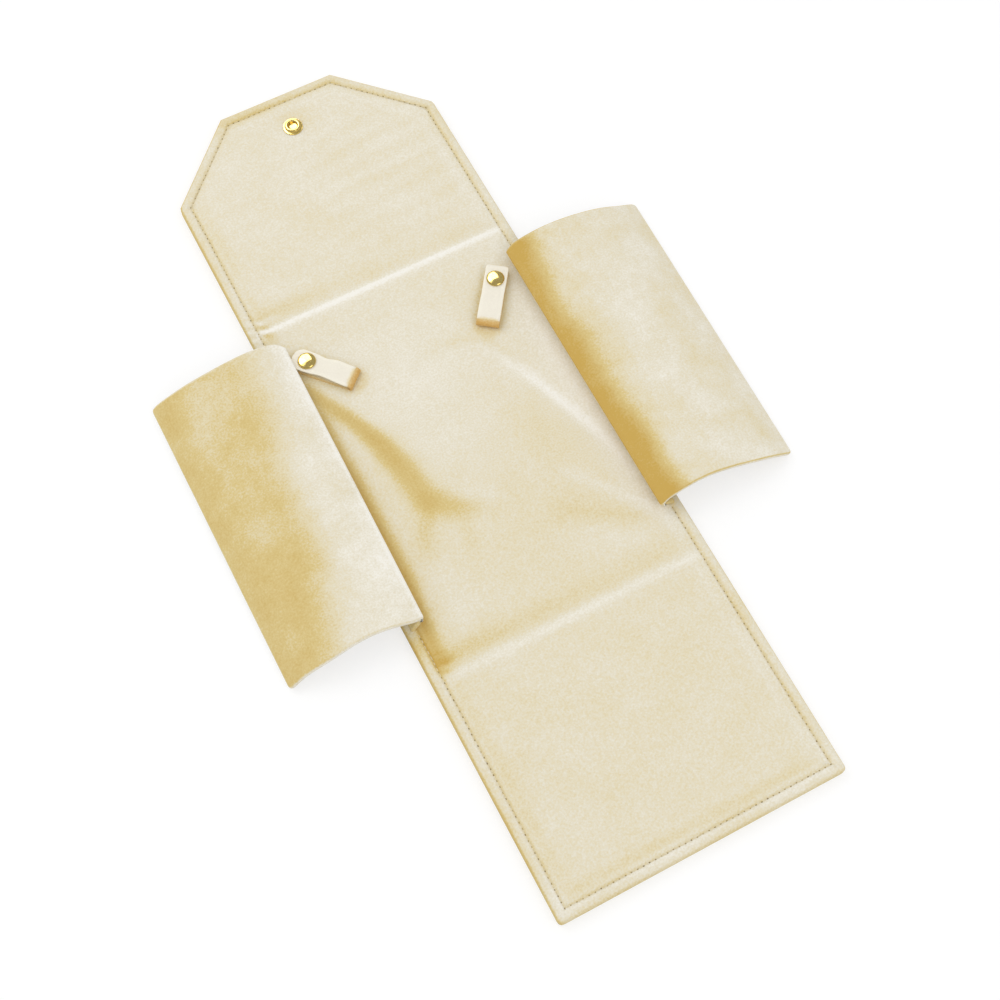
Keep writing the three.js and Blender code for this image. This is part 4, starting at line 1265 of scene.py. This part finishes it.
def wing_surface(side, s, y, depth):
    """Points of a wing at a depth under its upper face."""
    base = np.stack([np.interp(s, ALONG, SECTION[:, k]) for k in (0, 1)], axis=-1)
    ahead = np.stack([np.interp(s, ALONG, SECTION_AHEAD[:, k]) for k in (0, 1)], axis=-1)
    out = (s - RIDGE_ALONG) / (ALONG[-1] - RIDGE_ALONG)
    middle = (y - WING_LOW_Y) / (WING_HIGH_Y - WING_LOW_Y)
    swell = smooth(out / 0.12) * np.clip(1 - out, 0, 1)
    lift = STEEP[side] * swell * bell(out - 0.1, 0.22) - 0.6 * STEEP[side] * bell(out - 0.6, 0.25)
    arch = np.sin(np.pi * np.clip(out, 0, 1))

    def ends(pair):
        return pair[0] + (pair[1] - pair[0]) * middle

    lean_in = ends(LEAN_IN[side]) * smooth(s / RIDGE_ALONG) * smooth((0.75 - out) / 0.75)
    x = base[..., 0] + depth * ahead[..., 1] - lean_in + ends(STRETCH[side]) * smooth(out)
    lift = lift + ends(OUTER_RISE[side]) * bell(out - 0.85, 0.2)
    z = base[..., 1] - depth * ahead[..., 0] + lift + ends(BULGE[side]) * arch
    bow = flare(LOW_FLARE[side], out) * smooth((0.6 - middle) / 0.6)
    bow = bow + flare(HIGH_FLARE[side], out) * smooth((middle - 0.4) / 0.6)
    at_ridge = bell(s - RIDGE_ALONG, 3.5)
    low_droop, high_droop = DROOP[side]
    droop = low_droop * smooth((DROOP_REACH - y + WING_LOW_Y) / DROOP_REACH)
    droop = droop - high_droop * smooth((DROOP_REACH - WING_HIGH_Y + y) / DROOP_REACH)
    return np.stack([x, y + ends(SHEAR[side]) * smooth(out) + bow + droop * at_ridge, z], axis=-1)


def wing_sheet(side, upper):
    """Points, quads and column numbers of one velvet of a wing."""
    s, y, inside = wing_plan()
    reach = np.clip(WING_HALF - inside, 0, WING_HALF)
    half = WING_LIP + (WING_HALF - WING_LIP) * np.sqrt(1 - (reach / WING_HALF) ** 2)
    sign = 1.0 if upper else -1.0
    rows, columns = s.shape
    points = wing_surface(side, s, y, WING_HALF - sign * half).reshape(-1, 3)
    column_of = np.tile(np.arange(columns), rows)
    quads = [grid_quads(rows, columns)]
    index = np.arange(rows * columns).reshape(rows, columns)
    loop = np.concatenate([index[0, :], index[1:, -1], index[-1, -2::-1]])
    tucked_s = np.minimum(s.ravel()[loop], ALONG[-1] - WING_TUCK)
    tucked_y = np.clip(y.ravel()[loop], WING_LOW_Y + WING_TUCK, WING_HIGH_Y - WING_TUCK)
    lip = wing_surface(side, tucked_s, tucked_y, WING_HALF - sign * WING_SEAM)
    here = np.arange(len(loop)) + len(points)
    points = np.concatenate([points, lip])
    column_of = np.concatenate([column_of, column_of[loop]])
    quads.append(np.column_stack([loop[1:], loop[:-1], here[:-1], here[1:]]))
    faces = np.concatenate(quads)
    if side == "left":
        points = points * np.array([-1.0, 1.0, 1.0])
    facing_up = upper == (side == "right")
    return points, faces if facing_up else faces[:, ::-1], column_of


# Painted shade in the seam along a wing's rims and on the lips tucked into it, and a painted highlight on the
# rolled rims.
SEAM_SHADE = {"left": 0.15, "right": 0.7}
RIM_HIGHLIGHT = 0.14
LIP_SHADE = 0.45


def wing_nap_and_shade(side, normals):
    """Painted light and shade on a wing: by slope, golden at the right root, pale at the left ridge and the
    rims.
    """
    s, y, inside = wing_plan()
    low_end = 1 - (y - WING_LOW_Y) / (WING_HIGH_Y - WING_LOW_Y)
    from_ridge = s - RIDGE_ALONG
    lean_and_shade = 0.31 + slope_shade(normals[:s.size], gain=3.6, golden=0.34, pale=0.09).reshape(s.shape)
    if side == "right":
        # Painted shade: a golden band along the right wing's root.
        strip = 13.5 - 12.0 * low_end + 13.5 * low_end ** 2 + 1.2 * np.sin(y / 9.0)
        share = 0.55 - 0.4 * low_end + 0.46 * low_end ** 2
        lean_and_shade = lean_and_shade + share * smooth((strip - from_ridge) / 13.0 + 0.5)
        lean_and_shade = lean_and_shade - 0.02 + 0.07 * (1 - low_end) * smooth((from_ridge - 35.0) / 20.0)
        lean_and_shade = lean_and_shade + 0.06 * bell(low_end - 0.5, 0.3) * smooth((from_ridge - 38.0) / 15.0)
        clouds = np.sin(y / 11.0 + from_ridge / 9.0) * np.sin(from_ridge / 13.0 - y / 17.0)
        lean_and_shade = lean_and_shade + 0.05 * clouds * smooth((from_ridge - 15.0) / 10.0)
    else:
        # Painted light near the left ridge and painted shade on the outer part, beyond the slope's.
        strip = 12.0 + 30.0 * low_end ** 0.85 + 2.5 * np.sin(y / 13.0)
        lean_and_shade = lean_and_shade + 0.1 - 0.16 * smooth((strip - from_ridge) / 20.0 + 0.5)
        lean_and_shade = lean_and_shade + 0.05 * bell(from_ridge - strip - 9.0, 8.0)
        lean_and_shade = lean_and_shade - 0.03 * smooth((from_ridge - strip - 16.0) / 10.0)
        lean_and_shade = lean_and_shade - 0.12 * (1 - low_end) * smooth((11.0 - from_ridge) / 8.0)
        lean_and_shade = lean_and_shade + 0.08 * bell(from_ridge - 28.0, 11.0) * bell(y - 55.0, 25.0)
        lean_and_shade = lean_and_shade + 0.1 * bell(from_ridge - 33.0, 11.0) * bell(y + 25.0, 30.0)
        # Painted highlight: a pale line along the left ridge.
        lean_and_shade = lean_and_shade - 0.3 * bell(from_ridge - 0.3, 1.7)
    # Painted shade: the root wall below the ridge goes golden.
    lean_and_shade = lean_and_shade + (0.62 - lean_and_shade) * smooth((-1.5 - from_ridge) / 2.0)
    # Painted highlight: the rolled rims are pale.
    rim = smooth((WING_HALF - inside) / WING_HALF) * smooth((from_ridge + 3.0) / 2.0)
    lean_and_shade = lean_and_shade * (1 - rim) + RIM_HIGHLIGHT * rim
    # Painted shade: a golden line in the seam along the rims.
    lean_and_shade = lean_and_shade + SEAM_SHADE[side] * bell(inside - 0.45, 0.22) * smooth(from_ridge / 2.0)
    lips = np.full(len(normals) - s.size, LIP_SHADE)
    return np.clip(np.concatenate([lean_and_shade.ravel(), lips]), 0.0, 1.0)


CUT_COLUMNS = [int(np.abs(WING_COLUMNS - cut).argmin()) for cut in WING_CUTS]
WING_PARTS = ["inner", "middle", "outer"]
WING_VELVET_THICKNESS = 1.1


def wing_pieces(side, upper):
    """The three pieces of one velvet of a wing."""
    layer = "upper" if upper else "under"
    points, faces, column_of = wing_sheet(side, upper)
    normals = vertex_normals(points, faces)
    nap_and_shade = wing_nap_and_shade(side, normals)
    columns = column_of[faces]
    for k, part in enumerate(WING_PARTS):
        first, last = CUT_COLUMNS[k], CUT_COLUMNS[k + 1]
        chosen = faces[(columns.min(axis=1) >= first) & (columns.max(axis=1) <= last)]
        name = f"{side}_wing_{part}_{layer}_velvet"
        piece = cloth_piece(name, points, chosen, normals, nap_and_shade, WING_VELVET_THICKNESS, WING_VELVET)
        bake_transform(piece)
        stands_for = [f"{side}_wing_{part}_{layer}"]
        if k == 0:
            stands_for.append(f"{side}_wing_root")
        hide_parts(*stands_for)


for wing_side in ("left", "right"):
    wing_pieces(wing_side, True)
    wing_pieces(wing_side, False)

# %% [markdown]
# ## Strap loops
# A strap is a flat tape folded back on itself, with a snap through its free end. A rounded section is
# swept along the fold. The lower run and the fold stay on the centre panel.

# %% Strap tapes
TAPE_THICKNESS = 1.1
TAPE_TAIL = 8.0
TAIL_END = -2.5              # the tape's tail, with its rounded corners, has more points up to here
BASE_CORNER = 1.2
TAPE_CORNER = {"left": 5.2, "right": 1.2}
TAPE_EDGE = 0.35
TAPE_LOW_Z = node_box("left_strap_base")[0][2] + TAPE_THICKNESS / 2
TAPE_HIGH_Z = node_box("left_strap_top")[1][2] - TAPE_THICKNESS / 2
FOLD_RADIUS = (TAPE_HIGH_Z - TAPE_LOW_Z) / 2
FOLD_SLACK = 0.15            # the fold lies a little beyond the hinge
# Painted shade on the fold end, deeper where it turns most.
FOLD_SHADE, FOLD_DEEPER = 0.66, 0.1
WAVE_START = 5.0
WAVE = {"left": 0.9, "right": 0.35}
NECK = {"left": 0.8, "right": 0.15}
NECK_PLACE, NECK_WIDTH = 9.0, 4.5


def tape_section(half_width):
    """Points round the tape's section: across it and through it."""
    flat = half_width - TAPE_EDGE
    half = TAPE_THICKNESS / 2
    rungs = np.linspace(-flat, flat, 7)
    top = [(a, half) for a in rungs]
    under = [(a, -half) for a in rungs[::-1]]
    nib = TAPE_EDGE * 0.3
    right = [(half_width - nib, half * 0.75), (half_width, 0.0), (half_width - nib, -half * 0.75)]
    left = [(-a, -b) for a, b in right]
    return np.array([*top, *right, *under, *left])


def sweep_tape(name, path, ends_free, origin, ahead, corner, neck, reach, face_lean, edge_tone, fade):
    """A tape along a path of (distance from the snap, height), as a closed mesh."""
    path = np.array(path)
    gaps = np.linalg.norm(np.diff(path, axis=0), axis=1)
    along = np.concatenate([[0], np.cumsum(gaps)])
    tangent = np.gradient(path, axis=0)
    tangent /= np.linalg.norm(tangent, axis=1, keepdims=True)
    aside = np.array([-ahead[1], ahead[0]])
    points, lean_and_shade, sides = [], [], len(tape_section(STRAP_HALF_WIDTH))
    for i, (u, z) in enumerate(path):
        to_end = along[-1] - along[i] if ends_free == "last" else along[i]
        nearness = max(corner - to_end, 0.0)
        narrow = corner - math.sqrt(max(corner ** 2 - nearness ** 2, 0.0))
        narrow += neck * float(bell(u - NECK_PLACE, NECK_WIDTH))
        section = tape_section(STRAP_HALF_WIDTH - narrow)
        through = np.array([-tangent[i][1], tangent[i][0]])
        for a, b in section:
            plan = origin + ahead * (u + b * through[0]) + aside * a
            points.append([plan[0], plan[1], z + b * through[1]])
            # Painted shade and highlight: the fold end is golden as shade; an edge is a pale highlight on the
            # upper run and golden shade on the lower run, and the fold's corners fade pale.
            at_edge = float(smooth((abs(a) - STRAP_HALF_WIDTH + narrow + 1.1) / 0.7))
            folded = float(np.clip((abs(through[0]) - 0.05) / 0.9, 0.0, 1.0))
            near_fold = float(smooth((u - reach + 2.6) / 3.4))
            body_tone = face_lean + (edge_tone - face_lean) * at_edge
            fold_shade = (FOLD_SHADE + FOLD_DEEPER * folded) * (1 - fade * at_edge)
            lean_and_shade.append(body_tone * (1 - near_fold) + fold_shade * near_fold)
    index, quads = ring_quads(len(path), sides)
    caps = [index[0, ::-1].tolist(), index[-1].tolist()]
    piece = mesh_object(name, np.array(points), quads.tolist() + caps, TAPE_VELVET)
    piece.data.set_sharp_from_angle(angle=math.radians(50))
    store(piece.data, "rest", "FLOAT_VECTOR", np.array(points) * MM)
    store(piece.data, "nap_and_shade", "FLOAT", np.array(lean_and_shade))
    return piece


def strap(side):
    """Both runs of a strap's tape."""
    origin, fold_place = strap_line(side)
    ahead = (fold_place - origin) / np.linalg.norm(fold_place - origin)
    reach = np.linalg.norm(fold_place - origin) + FOLD_SLACK
    middle_z = (TAPE_LOW_Z + TAPE_HIGH_Z) / 2
    run = np.concatenate([np.linspace(-TAPE_TAIL, TAIL_END, 16)[:-1], np.linspace(TAIL_END, reach, 26)])
    base = [(u, TAPE_LOW_Z) for u in run]
    turn_angles = np.radians(np.linspace(-90, 90, 15))[1:-1]
    fold = [(reach + FOLD_RADIUS * math.cos(t), middle_z + FOLD_RADIUS * math.sin(t)) for t in turn_angles]
    swing = [math.sin(math.pi * smooth((u - WAVE_START) / (reach - WAVE_START))) for u in run]
    wave = [TAPE_HIGH_Z + WAVE[side] * share ** 2 for share in swing]
    upper = list(zip(run[::-1], wave[::-1]))
    lower_piece = sweep_tape(f"{side}_strap_lower_run", base + fold + upper[:1], "first", origin, ahead,
                             BASE_CORNER, 0.0, reach, face_lean=0.22, edge_tone=0.65, fade=0.0)
    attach(lower_piece, "centre")
    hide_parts(f"{side}_strap_base")
    upper_piece = sweep_tape(f"{side}_strap_upper_run", upper, "last", origin, ahead, TAPE_CORNER[side],
                             NECK[side], reach, face_lean=0.2, edge_tone=0.04, fade=0.24)
    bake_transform(upper_piece)
    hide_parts(f"{side}_strap_top")
    print(side, "strap", round(reach + FOLD_RADIUS, 1), "mm reach")


for strap_side in ("left", "right"):
    strap(strap_side)

# %% [markdown]
# ## Press snaps
# Every snap part is a turned form: a cap with a rolled rim, a socket ring with a hole, a stud with a
# bulb. A profile of radius and height is spun about the snap's axis with many steps, so that the metal
# mirrors the room without facets.

# %% Press snaps
TURN_STEPS = 64


def turned(name, profile, centre, down=False):
    """A closed turned form. The profile runs from the axis over the outside and back to the axis."""
    angle = np.linspace(0, 2 * np.pi, TURN_STEPS, endpoint=False)
    sign = -1.0 if down else 1.0
    profile = [(radius, sign * height) for radius, height in profile]
    points = [(centre[0], centre[1], centre[2] + profile[0][1])]
    for radius, height in profile[1:-1]:
        points += [(centre[0] + radius * math.cos(a), centre[1] + radius * math.sin(a), centre[2] + height)
                   for a in angle]
    points.append((centre[0], centre[1], centre[2] + profile[-1][1]))
    rings = len(profile) - 2
    faces = []
    for k in range(TURN_STEPS):
        after = (k + 1) % TURN_STEPS
        faces.append((0, 1 + k, 1 + after))
        for ring in range(rings - 1):
            a, b = 1 + ring * TURN_STEPS, 1 + (ring + 1) * TURN_STEPS
            faces.append((a + k, b + k, b + after, a + after))
        a = 1 + (rings - 1) * TURN_STEPS
        faces.append((a + k, len(points) - 1, a + after))
    if down:
        faces = [face[::-1] for face in faces]
    piece = mesh_object(name, np.array(points), faces, GOLD)
    piece.data.set_sharp_from_angle(angle=math.radians(40))
    return piece


def cap_profile(radius, height):
    """A cap: a low dome with a rounded shoulder and a rolled rim."""
    dome = [(radius * 0.86 * math.sin(t), height * (0.62 + 0.38 * math.cos(t) ** 1.5))
            for t in np.radians(np.linspace(0, 88, 12))]
    rim = [(radius * 0.92, height * 0.5), (radius * 0.98, height * 0.36), (radius, height * 0.22),
           (radius * 0.99, height * 0.08), (radius * 0.95, 0.0)]
    return [*dome, *rim, (0.0, 0.0)]


def socket_profile(radius, height, hole):
    """A socket: a flange, a rounded ring standing on it, and a hole with a floor."""
    ring = (radius * 0.82 + hole) / 2
    half = (radius * 0.82 - hole) / 2
    crown = [(ring - half * math.cos(t), height * (0.35 + 0.65 * math.sin(t)))
             for t in np.radians(np.linspace(0, 180, 13))]
    flange = [(radius * 0.86, height * 0.3), (radius * 0.97, height * 0.26), (radius, height * 0.15),
              (radius, 0.0)]
    floor_rings = [(0.0, height * 0.12), (hole * 0.7, height * 0.12), (hole * 0.96, height * 0.2)]
    return [*floor_rings, *crown, *flange, (0.0, 0.0)]


def stud_profile(radius, height, bulb):
    """A stud: a flange with a bulb on a narrower neck."""
    ball = [(bulb * math.cos(t), height - bulb * 0.8 + bulb * 0.8 * math.sin(t))
            for t in np.radians(np.linspace(90, -35, 11))]
    flange = [(bulb * 0.8, height * 0.22), (radius * 0.9, height * 0.17), (radius, height * 0.1),
              (radius, 0.0)]
    return [*ball, *flange, (0.0, 0.0)]


def snap_piece(node, body, shape, measure, down):
    """A turned form in the place of a snap node: a cap, a socket or a stud, facing up or down."""
    low, high = node_box(node)
    radius, height = (high[0] - low[0]) / 2, high[2] - low[2]
    if shape == "cap":
        profile = cap_profile(radius, measure)
        seat = low[2] + measure if down else high[2] - measure
    else:
        make = socket_profile if shape == "socket" else stud_profile
        profile = make(radius, height, measure)
        seat = high[2] if down else low[2]
    shift = STRAP_SHIFT.get(node.split("_")[0], np.zeros(2))
    piece = turned(f"{node}_turned", profile, np.array([*node_middle(node)[:2] + shift, seat]), down)
    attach(piece, body)
    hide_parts(node)


# %% Snap pieces
FLAP_DOME, STRAP_DOME = 2.0, 1.6
FLAP_HOLE, STRAP_HOLE = 2.3, 2.1
FLAP_BULB, STRAP_BULB = 1.9, 1.7

snap_piece("flap_cap", "flap", "cap", FLAP_DOME, down=True)
snap_piece("flap_socket", "flap", "socket", FLAP_HOLE, down=False)
snap_piece("closure_stud", "lower_panel", "stud", FLAP_BULB, down=True)
for strap_side in ("left", "right"):
    snap_piece(f"{strap_side}_strap_cap", f"{strap_side}_strap", "cap", STRAP_DOME, down=False)
    snap_piece(f"{strap_side}_strap_socket", f"{strap_side}_strap", "socket", STRAP_HOLE, down=True)
    snap_piece(f"{strap_side}_strap_stud", "centre", "stud", STRAP_BULB, down=False)
print("snap parts for one flap and two straps")

# %% [markdown]
# ## Inside the panels
# Foam, board and the rivets behind the studs keep the imported model's own shapes. They are closed in,
# so a mottled finish is enough.

# %% Inside the panels
for name, node in nodes.items():
    if name.endswith("_padding"):
        finish = FOAM
    elif name.endswith("_board"):
        finish = BOARD
    elif name.endswith(("_rivet", "_cap", "_socket", "_stud")):
        finish = GOLD
    elif name.endswith("_cover"):
        finish = COVER_VELVET
    elif "_strap_" in name:
        finish = TAPE_VELVET
    else:
        finish = LINING_VELVET
    node.data.materials.clear()
    node.data.materials.append(finish)
print("finished", len(nodes), "packed nodes")
